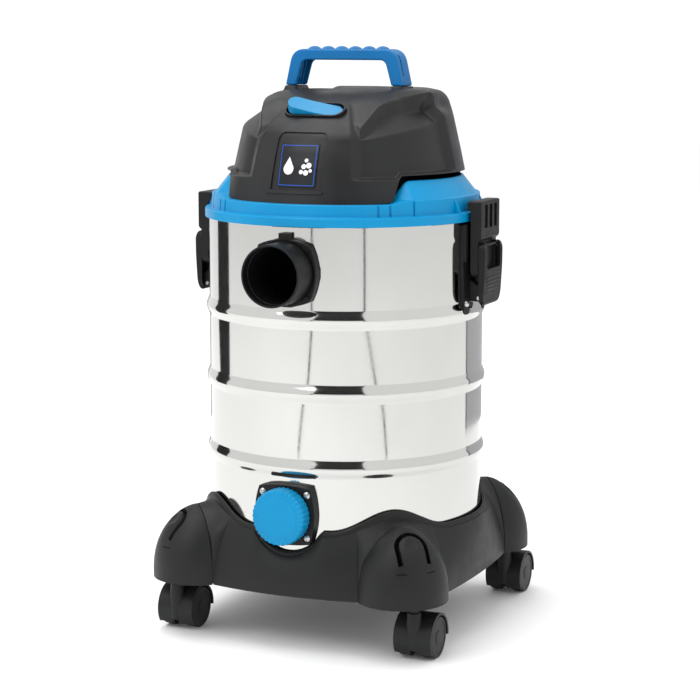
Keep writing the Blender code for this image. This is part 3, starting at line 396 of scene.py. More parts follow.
def plastic(name, colour, roughness=0.42, grain=0.00003, grain_scale=2600, spread_of_tone=0.10, gloss=0.28):
    """Moulded plastic: faint tone changes, a fine grain, and a roughness that varies where hands rub it."""
    made, tree, shader = nodes_of(name, roughness)
    shader.inputs["Specular IOR Level"].default_value = gloss
    tone = noise(tree, 22, 5)
    two_tones(tree, shader, tone, colour, 1 - spread_of_tone, 1 + spread_of_tone)
    rubbed = noise(tree, 45, 6, 0.6)
    tree.links.new(spanned(tree, rubbed, roughness - 0.05, roughness + 0.07), shader.inputs["Roughness"])
    flow = bumped(tree, shader, noise(tree, 60, 2), 0.00006, 0.5)
    bumped(tree, shader, noise(tree, grain_scale, 2), grain, 0.9, flow)
    return made


def metal(name, colour, roughness, marks=0.00001, stretch=(1, 1, 1), scale=900):
    """Metal with fine drawn marks along one direction."""
    made, tree, shader = nodes_of(name, roughness, 1.0)
    tone = noise(tree, 30, 4, 0.6, stretch)
    two_tones(tree, shader, tone, colour, 0.94, 1.04)
    lines = noise(tree, scale, 4, 0.6, stretch)
    tree.links.new(spanned(tree, lines, roughness * 0.75, roughness * 1.4), shader.inputs["Roughness"])
    bumped(tree, shader, lines, marks, 0.6)
    return made


def rubber_like(name, colour):
    """Dull rubber with a fine grain."""
    made, tree, shader = nodes_of(name, 0.8)
    two_tones(tree, shader, noise(tree, 80, 4), colour, 0.8, 1.3)
    bumped(tree, shader, noise(tree, 1800, 3), 0.00005)
    return made


def polished_steel(name, colour):
    """Bright polished sheet: a slow waviness bends its reflections, and fine marks run round the tank."""
    made, tree, shader = nodes_of(name, 0.07, 1.0)
    stains = noise(tree, 9, 5, 0.6, (1, 1, 0.7))
    two_tones(tree, shader, stains, colour, 0.95, 1.02)
    smears = noise(tree, 40, 6, 0.65, (1, 1, 5))
    tree.links.new(spanned(tree, smears, 0.055, 0.105), shader.inputs["Roughness"])
    waves = bumped(tree, shader, noise(tree, 11, 1, 0.4, (1, 1, 0.5)), 0.0010, 0.30)
    bumped(tree, shader, noise(tree, 700, 2, 0.5, (0.06, 0.06, 1)), 0.000004, 0.5, waves)
    return made


def wound_copper(name, colour):
    """Enamelled wire, with bumps that run along the winding."""
    made, tree, shader = nodes_of(name, 0.4, 1.0)
    two_tones(tree, shader, noise(tree, 60, 4), colour, 0.7, 1.1)
    bumped(tree, shader, noise(tree, 900, 2, 0.5, (1, 1, 0.1)), 0.0001)
    return made


def paper(name, colour):
    """Fibrous filter paper."""
    made, tree, shader = nodes_of(name, 0.9)
    two_tones(tree, shader, noise(tree, 300, 6, 0.7), colour, 0.86, 1.05)
    bumped(tree, shader, noise(tree, 2200, 4), 0.00008)
    return made


MAKERS = {
    "polished_steel": lambda name: polished_steel(name, (0.600, 0.601, 0.583)),
    "black_plastic": lambda name: plastic(name, (0.008, 0.008, 0.0085), 0.42, 0.00004, 2200, gloss=0.20),
    "rubber": lambda name: rubber_like(name, (0.008, 0.008, 0.009)),
    "cap_blue": lambda name: plastic(name, (0.001, 0.235, 0.475), 0.38, 0.00002, 2600, 0.05, 0.20),
    "collar_blue": lambda name: plastic(name, (0.001, 0.245, 0.505), 0.34, 0.000015, 2600, 0.04, 0.22),
    "handle_blue": lambda name: plastic(name, (0.001, 0.132, 0.360), 0.36, 0.000015, 2600, 0.05, 0.22),
    "switch_blue": lambda name: plastic(name, (0.002, 0.215, 0.440), 0.34, 0.000012, 2600, 0.05, 0.40),
    "switch_black": lambda name: plastic(name, (0.010, 0.010, 0.011), 0.42, 0.00002, 2600),
    "label": lambda name: plastic(name, (0.006, 0.007, 0.010), 0.30, 0.000005, 3000),
    "head_grey": lambda name: plastic(name, (0.0175, 0.0178, 0.0187), 0.38, 0.00003, 2400, 0.06, 0.24),
    "dolly_grey": lambda name: plastic(name, (0.0125, 0.0130, 0.0128), 0.46, 0.00004, 2000, 0.06, 0.22),
    "caster_black": lambda name: plastic(name, (0.012, 0.0125, 0.013), 0.45, 0.00003, 2400, gloss=0.25),
    "pin_steel": lambda name: metal(name, (0.56, 0.56, 0.55), 0.30),
    "motor_steel": lambda name: metal(name, (0.26, 0.26, 0.27), 0.45, 0.00004, (0.05, 0.05, 1), 1500),
    "fan_aluminium": lambda name: metal(name, (0.72, 0.73, 0.74), 0.32),
    "copper_winding": lambda name: wound_copper(name, (0.60, 0.26, 0.12)),
    "filter_paper": lambda name: paper(name, (0.75, 0.73, 0.66)),
    "float_plastic": lambda name: plastic(name, (0.72, 0.72, 0.69), 0.45, 0.00002, 2600, 0.04),
}
FINISHES = {slot: MAKERS[slot](slot) for slot in SLOTS}
PRINTS = {name: plastic(f"label_{name}", colour, 0.35, 0.000004, 3000, 0.04)
          for name, colour in (("blue", (0.010, 0.080, 0.420)), ("white", (0.80, 0.80, 0.80)))}
for node, obj in frame["nodes"].items():
    obj.data.materials.clear()
    obj.data.materials.append(FINISHES[NODE_SLOTS[node]])


# ---------------------------------------------------------------- places from the frame

def middle(node):
    """Middle of a CAD node's box."""
    low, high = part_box(node)
    return (low + high) / 2


TANK_BOTTOM, TANK_TOP = (corner.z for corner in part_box("tank_shell"))
INLET_Z = middle("inlet_gasket").z
INLET_FACE_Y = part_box("inlet_port")[0].y
DRAIN_Z = middle("drain_cap").z
DRAIN_FACE_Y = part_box("drain_cap")[0].y
DRAIN_PLATE_Y = -0.1515
LIP_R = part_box("lid_collar")[1].x
LIP_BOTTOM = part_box("lid_collar")[0].z
BLOWER_Z = middle("blower_port").z
BLOWER_FACE_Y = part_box("blower_port")[1].y
CORD = middle("cord_inlet")
HANDLE_LOW, HANDLE_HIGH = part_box("carry_handle")
HANDLE_INNER = 0.0535
SWITCH_AT = Vector(JOINTS["rocker_tilt"]["pos_m"])
BASE_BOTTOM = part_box("dolly_base")[0].z


def pivot_of(joint):
    """A point on a joint's axis, with the part at rest."""
    return Vector(JOINTS[joint]["pos_m"])


def tank_core(radius):
    """A fine cylinder round the tank's axis, for fitting a piece against the wall."""
    return turned("tank_core", ((0, 0.03), (radius, 0.03), (radius, 0.47), (0, 0.47)), 2 * FINE)


# ---------------------------------------------------------------- tank

def tank_section(azimuth):
    """The wall's section: a rounded foot, three pressed beads and a rolled rim. The sheet's ends
    overlap in a low welded seam at the rear."""
    seam = 0.0003 if from_front(azimuth) > 179.2 else 0.0
    outside = arc((TANK_R - 0.003, TANK_BOTTOM + 0.003), 0.003, -80, 0, 5)
    for height in BEADS:
        for i in range(-8, 9):
            out = BEAD_OUT * math.cos(math.pi / 2 * i / 8) ** 1.5 if abs(i) < 8 else 0.0
            outside.append((TANK_R + seam + out, height + BEAD_HALF * i / 8))
    outside.append((TANK_R + seam, TANK_TOP - 0.0048))
    outside += arc((TANK_R - 0.0002, TANK_TOP - 0.0020), 0.0020, -60, 90, 8)
    inside = [(TANK_R - TANK_WALL, TANK_TOP - 0.0012), (TANK_R - TANK_WALL, TANK_BOTTOM + 0.003),
              (TANK_R - 0.003 - TANK_WALL, TANK_BOTTOM)]
    return outside + inside


def make_tank():
    seam_edges = [179.1, 179.3, 180.7, 180.9]
    tank = spread("tank", tank_section, sorted(even(FINE) + seam_edges), smooth=50)
    inlet = bar("Y", (0, INLET_Z), -0.17, -0.12, PORT_R + 0.0004, ROUND)
    drain = bar("Y", (0, DRAIN_Z), -0.17, -0.12, DRAIN_BORE_R, ROUND)
    show(cut(tank, inlet, drain), "root", "polished_steel", "tank_shell")


# ---------------------------------------------------------------- inlet and drain

def pipe(name, inner, outer, length, mouth=0.0006):
    """A tube along +Z from the origin, with a rounded mouth and a step just inside it."""
    section = [(inner, 0, 0), (outer, 0, 0.0003), (outer, length, mouth), (inner + 0.0006, length, mouth),
               (inner + 0.0006, length - 0.010, 0.0002), (inner, length - 0.0106, 0.0002)]
    return turned(name, fillet(section, 0, 4), ROUND)


def make_inlet():
    """Square flange with bulging sides, screwed to the tank, and the tube that the hose end fits."""
    face_y, back_y = -0.150, -0.132
    flange = prism("inlet", bulged_square(0.0345, 0.0337, 0.0390, (0, INLET_Z)), face_y, -0.122, "Y")
    locator = box("locator", (-0.006, face_y, INLET_Z + 0.030), (0.006, -0.138, INLET_Z + 0.0393))
    join(flange, locator)
    cut(flange, tank_core(TANK_R + FLANGE_GAP))
    soften(flange, 0.0012)
    groove = turned("groove", ((0.0300, 0), (0.0329, 0), (0.0329, 0.02), (0.0300, 0.02)), ROUND)
    aim(groove, (0, -1, 0), (0, face_y + 0.0022, INLET_Z))
    tube = pipe("tube", PORT_BORE_R, PORT_R, back_y - INLET_FACE_Y)
    aim(tube, (0, -1, 0), (0, back_y, INLET_Z))
    bore = bar("Y", (0, INLET_Z), -0.16, -0.11, PORT_R - 0.0006, ROUND)
    cut(flange, groove, bore)
    join(flange, tube)
    for corner in (45, 135, 225, 315):
        angle = math.radians(corner)
        pad_x, pad_z = 0.0352 * math.cos(angle), INLET_Z + 0.0352 * math.sin(angle)
        join(flange, bar("Y", (pad_x, pad_z), -0.146, face_y - 0.0012, 0.0034, 32, 0.0005))
    show(flange, "root", "black_plastic", "inlet_port")
    show(bent_tube("inlet_elbow", back_y + 0.0004), "root", "black_plastic", "inlet_deflector")


def bent_tube(name, start_y, bend=0.0315, steps=16, sides=64):
    """The elbow inside the tank that turns the air down, open at both ends."""
    bm = bmesh.new()
    skins = []
    for radius in (PORT_R - 0.0005, PORT_BORE_R):
        rows = []
        for i in range(steps + 1):
            turn = math.radians(90) * i / steps
            centre = Vector((0, start_y + bend * math.sin(turn), INLET_Z - bend * (1 - math.cos(turn))))
            up = Vector((0, math.sin(turn), math.cos(turn)))
            angles = [2 * math.pi * j / sides for j in range(sides)]
            rows.append([bm.verts.new(centre + up * radius * math.cos(a)
                                      + Vector((radius * math.sin(a), 0, 0))) for a in angles])
        skins.append(rows)
    pairs = [pair for rows in skins for pair in zip(rows, rows[1:])]
    pairs += [(skins[0][end], skins[1][end]) for end in (0, -1)]
    for first, second in pairs:
        for j in range(sides):
            k = (j + 1) % sides
            bm.faces.new((first[j], first[k], second[k], second[j]))
    return add(name, bm)


def screw(at, axis, radius=0.0036):
    """Pan head with a cross recess, standing on a surface."""
    section = [(0, 0.0018)] + arc((0, -0.0030), 0.0048, 80, 45, 5) + [(radius, 0.0002), (radius, -0.0010),
                                                                     (0, -0.0010)]
    head = turned("screw_head", section, 32)
    for turn in (20, 110):
        slot = box("slot", (-0.0021, -0.00042, 0.0006), (0.0021, 0.00042, 0.003))
        cut(head, moved(slot, Matrix.Rotation(math.radians(turn), 4, "Z")))
    return aim(head, axis, at)


CAP_R = 0.0287
CAP_RIDGES = 36


def cap_section(azimuth):
    """The drain cap's section: a flat middle, fine radial ridges and a scalloped edge."""
    ridge = 0.5 - 0.5 * math.cos(math.radians(azimuth * CAP_RIDGES))
    edge = CAP_R - 0.0007 * ridge
    depth = DRAIN_PLATE_Y - DRAIN_FACE_Y - 0.0008
    return [(0, depth), (0.0196, depth), (0.0203, depth - 0.0003), (0.0210, depth - 0.0004 - 0.0004 * ridge),
            (edge - 0.0028, depth - 0.0005 - 0.0008 * ridge),
            (edge - 0.0012, depth - 0.0010 - 0.0005 * ridge),
            (edge - 0.0002, depth - 0.0026), (edge, depth - 0.0040), (edge, 0.0010), (edge - 0.0008, 0),
            (0.0221, 0), (0.0221, depth - 0.0042), (0, depth - 0.0042)]


def make_drain():
    """Square plate with a neck and four sunk screws, and the cap that turns on the neck."""
    outline = bulged_square(0.0330, 0.0305, 0.0395, (0, DRAIN_Z))
    plate = prism("drain_plate", outline, DRAIN_PLATE_Y, -0.122, "Y")
    cut(plate, tank_core(TANK_R + FLANGE_GAP))
    soften(plate, 0.0015)
    neck = bar("Y", (0, DRAIN_Z), -0.1620, -0.146, 0.0215, ROUND, 0.0006)
    join(plate, neck)
    cut(plate, bar("Y", (0, DRAIN_Z), -0.19, -0.12, DRAIN_BORE_R, ROUND))
    places = [(sx * 0.0242, DRAIN_PLATE_Y, DRAIN_Z + sz * 0.0218) for sx in (-1, 1) for sz in (-1, 1)]
    for at in places:
        sunk = bar("Y", (at[0], at[2]), at[1] + 0.0008, at[1] - 0.01, 0.0044, 32)
        cut(plate, sunk)
    show(plate, "root", "black_plastic", "drain_flange")
    heads = [screw((x, y + 0.0004, z), (0, -1, 0)) for x, y, z in places]
    show(merged("drain_screws", heads), "root", "pin_steel")
    cap = spread("drain_screw_cap", cap_section, even(8 * CAP_RIDGES), smooth=40)
    aim(cap, (0, -1, 0), (0, DRAIN_PLATE_Y - 0.0008, DRAIN_Z))
    show(cap, "drain_cap", "cap_blue", "drain_cap")


# ---------------------------------------------------------------- dolly

FOOT_AT = Vector((0.1145, 0.1205, 0.0))
FOOT_ANGLE = math.degrees(math.atan2(FOOT_AT.x, FOOT_AT.y))
FOOT_REACH = FOOT_AT.length


def foot_half_width(z):
    """Half the width of a foot's dome at a height."""
    t = min(max((z - FOOT_SHOULDER) / (FOOT_TOP - FOOT_SHOULDER), 0.0), 1.0)
    return FOOT_R * max(1 - t ** 2.2, 0.0) ** 0.62


def foot_height(offset):
    """Height of a foot's dome at a distance from its axis."""
    share = min(abs(offset) / FOOT_R, 1.0)
    return FOOT_SHOULDER + (FOOT_TOP - FOOT_SHOULDER) * (1 - share ** (1 / 0.62)) ** (1 / 2.2)


def skirt_radius(azimuth):
    """Radius of the dolly's lower edge between the feet: nearly straight from seam to seam."""
    away = math.radians(from_front(azimuth))
    x, y = abs(math.sin(away)), abs(math.cos(away))
    edge = Vector((FOOT_AT.y, -FOOT_AT.x)).normalized() * FOOT_R
    if x * FOOT_AT.y < y * FOOT_AT.x:
        end = Vector((FOOT_AT.x - edge.x, FOOT_AT.y - edge.y))
        middle_r, straight, bow = BASE_FRONT_R, y, x / end.x
        corner = end.y
    else:
        end = Vector((FOOT_AT.x + edge.x, FOOT_AT.y + edge.y))
        middle_r, straight, bow = BASE_SIDE_R, x, y / end.y
        corner = end.x
    radius = middle_r / straight
    for _ in range(8):
        radius = (middle_r - (middle_r - corner) * min(radius * bow, 1.0) ** 2) / straight
    return radius


def base_rim(azimuth):
    """Height of the cup's rim: raised at the feet, and scooped out under the drain."""
    away = from_front(azimuth)
    mirrored = min(away, 180 - away)
    rise = math.cos(math.radians(min(abs(mirrored - FOOT_ANGLE) / 26, 1.0) * 90)) ** 2
    rim = RIM_LOW + RIM_RISE * rise
    across = CUP_R * math.sin(math.radians(away))
    if away < 90 and across < SCALLOP_R + 0.004:
        scoop = DRAIN_Z - math.sqrt(max(SCALLOP_R ** 2 - across ** 2, 0.0)) + max(across - SCALLOP_R, 0) * 2
        rim = min(rim, scoop)
    return rim


def base_section(azimuth):
    """Section of the dolly: its floor, the cup round the tank and the skirt, which swells to a lobe
    behind each foot and keeps a raised band along the rim."""
    away = from_front(azimuth)
    offset = math.radians(abs(min(away, 180 - away) - FOOT_ANGLE))
    rim = base_rim(azimuth)
    cup = CUP_R + CUP_WALL
    seam = FOOT_REACH - 0.0004
    across = math.tan(offset) * seam
    if across < FOOT_R:
        reach, top = seam / math.cos(offset), foot_height(across)
    else:
        reach, top = skirt_radius(azimuth), FOOT_SHOULDER
    band = mix(0.0045, 0.0085, ramp(rim, RIM_LOW, RIM_LOW + RIM_RISE))
    shoulder = max(rim - band, top + 0.0015)
    bulge = 0.0030 * ramp(shoulder - top, 0.004, 0.030)
    slope = [(mix(cup + 0.0036, reach, t) + bulge * math.sin(math.pi * t) ** 0.8, mix(shoulder, top, t))
             for t in (0.14, 0.3, 0.45, 0.6, 0.75, 0.88)]
    outside = [(cup + 0.0004, rim - 0.0008), (cup + 0.0012, mix(rim, shoulder, 0.5)),
               (cup + 0.0016, mix(rim, shoulder, 0.88)), (cup + 0.0036, shoulder), *slope, (reach, top),
               (reach, mix(BASE_BOTTOM, top, 0.5)), (reach, BASE_BOTTOM + 0.0008),
               (reach - 0.0008, BASE_BOTTOM)]
    inner = reach - 0.0035
    inside = [(inner, BASE_BOTTOM), (inner, mix(BASE_BOTTOM, min(top, 0.0655), 0.8)),
              (mix(inner, cup, 0.5), 0.0662), (cup + 0.001, 0.0668)]
    start = [(0, 0.0745), (CUP_R, 0.0745), (CUP_R, rim - 0.0008), (CUP_R + 0.0008, rim), (cup - 0.0006, rim)]
    return start + outside + inside + [(cup, 0.0705), (0, 0.0705)]


def make_dolly():
    """Dolly with the cup round the tank's foot, and its four feet."""
    lobe = math.degrees(math.atan(FOOT_R / FOOT_REACH))
    azimuths = {round(azimuth, 3) for azimuth in even(FINE)}
    for quarter in (FOOT_ANGLE, 180 - FOOT_ANGLE, 180 + FOOT_ANGLE, 360 - FOOT_ANGLE):
        for share in (-1.004, -0.999, -0.985, -0.96, -0.92, 0.92, 0.96, 0.985, 0.999, 1.004):
            azimuths.add(round(quarter + lobe * share, 3))
    base = spread("dolly", base_section, sorted(azimuths), smooth=42)
    show(base, "root", "dolly_grey", "dolly_base")
    for name, sx, sy in CORNERS:
        make_foot(name, sx, sy)


def foot_frame(sx, sy):
    """Places a shape made along +X at the middle of a foot's seam, pointing outwards."""
    outward = Vector((sx * FOOT_AT.x, sy * FOOT_AT.y, 0)).normalized()
    turn = Vector((1, 0, 0)).rotation_difference(outward).to_matrix().to_4x4()
    return Matrix.Translation((sx * FOOT_AT.x, sy * FOOT_AT.y, 0)) @ turn


def dome(name, inset, low):
    """A foot's full dome round the Z axis, pulled in by an inset."""
    heights = [low, FOOT_SHOULDER] + [mix(FOOT_SHOULDER, FOOT_TOP, i / 24) for i in range(1, 24)]
    heights += [mix(FOOT_SHOULDER, FOOT_TOP, t) for t in (0.975, 0.988, 0.996)]
    skin = [(max(foot_half_width(z) - inset, 0.001), z - inset * ramp(z, FOOT_SHOULDER, FOOT_TOP))
            for z in heights]
    return turned(name, [(0, low)] + skin + [(0, FOOT_TOP - inset)], ROUND)


TAB_TILT = math.radians(34)


def tab_slot(reach, half_inner, half_outer):
    """The upside-down U round the release tab, as a tool that only reaches a little below the skin."""
    top, foot = 0.0200, -0.0150
    outer = [(half_outer, foot)] + arc((0, top - half_outer), half_outer, 0, 180, 24) + [(-half_outer, foot)]
    inner = arc((0, top - 0.0044 - half_inner), half_inner, 180, 0, 24)
    outline = outer + [(-half_inner, foot)] + inner + [(half_inner, foot)]
    tool = prism("tab_slot", outline, 0.0, reach, "X")
    return moved(tool, Matrix.Translation((0.016, 0, 0.106)) @ Matrix.Rotation(-TAB_TILT, 4, "Y"))


def make_foot(name, sx, sy):
    """Half a dome that clips over the dolly's lobe, with a U-shaped slot round its release tab."""
    foot = dome(f"foot_{name}", 0, BASE_BOTTOM)
    hollow = dome("hollow", 0.003, BASE_BOTTOM - 0.01)
    cut(foot, hollow, box("seam", (-0.1, -0.1, 0), (0.0004, 0.1, 0.2)))
    slot_tool = cut(tab_slot(0.06, 0.0125, 0.0172), dome("below", 0.0034, 0.0))
    ledge, other = (box("ledge", (0.030, end * 0.0200, 0.0930), (0.06, end * 0.0105, 0.0942))
                    for end in (-1, 1))
    cut(join(ledge, other), dome("below", 0.0012, 0.0))
    normal = Vector((math.cos(TAB_TILT + 0.25), 0, math.sin(TAB_TILT + 0.25)))
    ball = bmesh.new()
    bmesh.ops.create_icosphere(ball, subdivisions=5, radius=0.030)
    dimple = add("dimple", ball)
    moved(dimple, Matrix.Translation(Vector((0.0270, 0, 0.1185)) + normal * 0.0284))
    lining = dome("lining", 0.0018, BASE_BOTTOM + 0.012)
    cut(lining, dome("core", 0.0034, 0.0), box("seam", (-0.1, -0.1, 0), (0.0014, 0.1, 0.2)))
    join(foot, lining)
    cut(foot, slot_tool, dimple, ledge)
    soften(foot, 0.0005, 2, 50)
    moved(foot, foot_frame(sx, sy))
    stem = pivot_of(f"swivel_{name}")
    socket = bar("Z", (stem.x, stem.y), BASE_BOTTOM - 0.0045, 0.112, 0.0105, 48, 0.0008)
    bore = bar("Z", (stem.x, stem.y), 0.04, 0.094, 0.0055, 48)
    join(foot, socket)
    cut(foot, bore)
    show(foot, "root", "dolly_grey", f"caster_foot_{name}")


# ---------------------------------------------------------------- casters

def make_caster(name):
    """Twin wheels under a hood that hangs on a stem, ahead of the axle."""
    stem = pivot_of(f"swivel_{name}")
    axle = pivot_of(f"roll_{name}_left")
    wheel_r = axle.z
    inner, outer, half = wheel_r + 0.0012, wheel_r + 0.0036, 0.0200

    def on_wheel(points):
        return [(axle.y - u, axle.z + v) for u, v in points]

    shell = arc((0, 0), outer, -34, 186, 48) + arc((0, 0), inner, 186, -34, 48)
    hood = prism(f"hood_{name}", on_wheel(shell), axle.x - half, axle.x + half, "X")
    web = arc((0, 0), inner + 0.0010, -40, 220, 48)
    join(hood, prism("web", on_wheel(web), axle.x - 0.0060, axle.x + 0.0060, "X"))
    soften(hood, 0.0007, 3)
    boss_line = [(0, 0.012, 0), (0.0072, 0.012, 0.002), (0.0082, 0.036, 0.004), (0.0064, 0.0495, 0.001),
                 (0, 0.0495, 0)]
    boss = turned("boss", fillet(boss_line, 0.001, 5), 64, (stem.x, stem.y))
    pin = bar("Z", (stem.x, stem.y), 0.045, 0.0915, 0.0049, 48, 0.0008)
    join(hood, boss, pin)
    for side, _ in SIDES:
        low, high = axle.x + side * 0.0064, axle.x + side * 0.0300
        room = bar("X", (axle.y, axle.z), low, high, inner, ROUND)
        cut(hood, room)
    notch = box("notch", (axle.x - 0.0030, axle.y - 0.05, -0.01), (axle.x + 0.0030, axle.y - 0.012, 0.0105))
    axle_hole = bar("X", (axle.y, axle.z), axle.x - 0.03, axle.x + 0.03, 0.0034, 48)
    cut(hood, notch, axle_hole)
    show(hood, f"caster_{name}", "caster_black", f"caster_hood_{name}")
    for side, label in SIDES:
        wheel = make_wheel(f"wheel_{name}_{label}", wheel_r, axle, side)
        show(wheel, f"wheel_{name}_{label}", "caster_black", f"caster_wheel_{name}_{label}")


def make_wheel(name, radius, axle, side):
    """One wheel: a rounded tread, a shallow dish and a hub disc on the closed outer face."""
    width, bore = 0.0125, 0.0033
    dish, hub = width - 0.0008, width - 0.0001
    section = [(bore, 0, 0), (radius, 0, 0.0012), (radius, width - 0.0006, 0.0020),
               (radius - 0.0030, width, 0.0008), (radius - 0.0040, dish, 0.0004), (0.0072, dish, 0.0004),
               (0.0066, hub, 0.0004), (0, hub, 0), (0, width - 0.0028, 0), (bore, width - 0.0028, 0)]
    ordered = fillet(section, 0, 4, True)
    start = next(i for i, point in enumerate(ordered) if point[0] == 0)
    ordered = ordered[start + 1:] + ordered[:start + 1]
    wheel = turned(name, ordered, ROUND)
    return aim(wheel, (side, 0, 0), axle + Vector((side * 0.0070, 0, 0)))


# ---------------------------------------------------------------- lid collar

GROOVES = (37.0, 42.0, 52.6)
GROOVE_HALF = 0.45
COLLAR_R = 0.1392


def side_share(azimuth):
    """0 at the front and rear, and 1 at the sides, where the motor cover's edge is raised."""
    away = from_front(azimuth)
    return ramp(away, 46, 55) * (1 - ramp(away, 124, 133))


def groove_share(azimuth):
    """1 inside one of the upright grooves in the collar's wall, and 0 elsewhere."""
    away = from_front(azimuth)
    nearest = min(abs(min(away, 180 - away) - groove) for groove in GROOVES)
    return 1.0 if nearest < GROOVE_HALF else 0.0


def collar_section(azimuth):
    """Section of the lid ring: its lip, its wall and the slope up to the cover."""
    share = side_share(azimuth)
    top = mix(0.4485, 0.4520, ramp(from_front(azimuth), 43, 49))
    foot = mix(0.1230, 0.1360, share)
    crest, crest_z = mix(0.1180, 0.1215, share), mix(top + 0.0020, 0.4700, share)
    wall = COLLAR_R - 0.0016 * groove_share(azimuth)
    points = [(0.034, 0.4460, 0), (0.1195, 0.4460, 0), (0.1345, 0.4332, 0), (LIP_R - 0.0018, 0.4332, 0),
              (LIP_R - 0.0018, LIP_BOTTOM, 0.0005), (LIP_R, LIP_BOTTOM, 0.0007), (LIP_R, 0.4362, 0.0012),
              (wall + 0.0010, 0.4366, 0.0008), (wall, top, 0.0012), (foot, top - 0.0004, 0.0020),
              (crest, crest_z, 0.0010), (crest - 0.002, crest_z, 0), (0.1155, 0.4490, 0), (0.034, 0.4490, 0)]
    return fillet(points, 0, 4)


def make_collar():
    """Lid ring with upright grooves, and gussets beside the latches."""
    azimuths = {round(azimuth, 3) for azimuth in even(FINE)}
    for groove in GROOVES:
        for mirrored in (groove, 180 - groove, 180 + groove, 360 - groove):
            azimuths |= {round(mirrored + GROOVE_HALF * edge, 3) for edge in (-1.15, -0.98, 0.98, 1.15)}
    collar = spread("collar", collar_section, sorted(azimuths), smooth=40)
    gusset_line = [(0.137, 0.4355), (LIP_R - 0.0008, 0.4355), (LIP_R - 0.0008, 0.4372), (0.1395, 0.4500),
                   (0.137, 0.4500)]
    for side, _ in SIDES:
        for away in (75.5, 104.5):
            gusset = prism("gusset", gusset_line, -0.0009, 0.0009, "Y")
            join(collar, moved(gusset, Matrix.Rotation(math.radians(side * away - 90), 4, "Z")))
    show(collar, "head", "collar_blue", "lid_collar")


# ---------------------------------------------------------------- motor cover

def blended(first, second, share):
    """Mixes two matched (radius, height) lines."""
    return [(mix(a[0], b[0], share), mix(a[1], b[1], share)) for a, b in zip(first, second)]


def on_right(azimuth):
    """Whether an azimuth is on the right, where the head differs from the left."""
    return 0 < azimuth % 360 < 180


def cover_outline(azimuth):
    """The cover's own (radius, height) line, as if it had no side recesses."""
    away = from_front(azimuth)
    line = blended(COVER_FRONT, COVER_REAR, ramp(away, 20, 80))
    if on_right(azimuth):
        return blended(line, COVER_RIGHT, ramp(away, 70, 90) * (1 - ramp(away, 125, 150)))
    return blended(line, COVER_LEFT, ramp(away, 62, 75) * (1 - ramp(away, 130, 150)))


def outline_radius(azimuth, z):
    """Radius of the cover's own line at a height."""
    return by_first([(height, radius) for radius, height in cover_outline(azimuth)], z)


def eased(value, low, high):
    """Goes from 0 to 1 in a straight line whose two corners are rounded."""
    t = (value - low) / (high - low)
    shifts = (-0.12, -0.06, 0.0, 0.06, 0.12)
    return sum(min(max(t + shift, 0.0), 1.0) for shift in shifts) / len(shifts)


def panel_top(away):
    """Height of the upper edge of the recess's upright panel."""
    return mix(0.5100, 0.5245, min(max((away - 32) / 50, 0.0), 1.0))


def arch_inner(away):
    """Height of the arch's lower edge, where the shelf meets the band."""
    return by_first(((31, 0.5105), (33, 0.5110), (38, 0.5165), (45, 0.5255), (51, 0.5295), (57, 0.5320),
                     (70, 0.5350), (87, 0.5370)), away)


def arch_outer(azimuth):
    """Radius and height of the arch's edge. On the right it climbs further towards the rear."""
    away = from_front(azimuth)
    end_r, end_z = (0.0985, 0.5555) if on_right(azimuth) else (0.0815, 0.5475)
    radius = by_first(((26, 0.1092), (30.5, 0.1045), (36, 0.0990), (47, 0.0900), (56, 0.0855), (67, 0.0820),
                       (72, mix(0.0820, end_r, 0.15)), (87, end_r)), away)
    height = by_first(((26, 0.5115), (30.5, 0.5200), (36, 0.5295), (41, 0.5375), (44, 0.5412), (48, 0.5442),
                       (56, 0.5472), (67, 0.5492), (87, end_z)), away)
    return radius, height


def recess_radius(away, z):
    """Radius of the recess's panel, or of the sloping shelf above it, at a height."""
    top = panel_top(away)
    return PANEL_R - (min(z, top) - PANEL_FOOT) * 0.227 - max(z - top, 0.0) * 1.45


def pillar_points(azimuth):
    """The pillar's rounded top, the gap over it, and the arch's edge."""
    if on_right(azimuth):
        return [(0.1100, 0.5330), (0.0985, 0.5420), arch_outer(87)]
    return COVER_LEFT[4:7]


def cover_section(azimuth):
    """The cover's section. Between the front and the sides it steps in to an upright panel, a sloping
    shelf and a band under the arch. Behind them stands a pillar."""
    away = from_front(azimuth)
    lift = ramp(away, 44, 51) * (1 - ramp(away, 126, 133))
    line = cover_outline(azimuth)
    bottom = mix(line[0][1], 0.475, lift)
    recess = eased(away, 26.5, 31.5) * (1 - eased(away, 84.5, 89.0))
    pillar = ramp(away, 84, 90) * (1 - ramp(away, 98, 118))

    lip, foot = max(0.4715, bottom + 0.0012), max(PANEL_FOOT, bottom + 0.0030)
    outer = [(outline_radius(azimuth, z), z) for z in (bottom, lip, foot, 0.4940)] + line[4:9]
    outer[4:7] = blended(outer[4:7], pillar_points(azimuth), pillar)
    heights = (foot, 0.4940, max(panel_top(away), 0.5085), max(arch_inner(away), 0.5095))
    inner = [(recess_radius(away, z), z) for z in heights] + [arch_outer(azimuth)]
    outer[2:7] = blended(outer[2:7], inner, recess)
    reaches = (0.0006, 0.0014, 0.0018, 0.008, mix(0.006, 0.0022, recess), mix(0.005, 0.0028, recess),
               mix(0.006, 0.0024, recess), 0.010, 0.012)
    points = [(r, z, reach) for (r, z), reach in zip(outer, reaches)]
    top = line[-1][1]
    skin = fillet(points + [(0.0, top, 0.0)], 0, 5, False)
    inside = [(max(r - COVER_WALL, 0.001), z - 0.0030 * ramp(z, 0.50, 0.55)) for r, z in outer]
    return skin[::-1] + inside + [(0.0, top - 0.0030)]


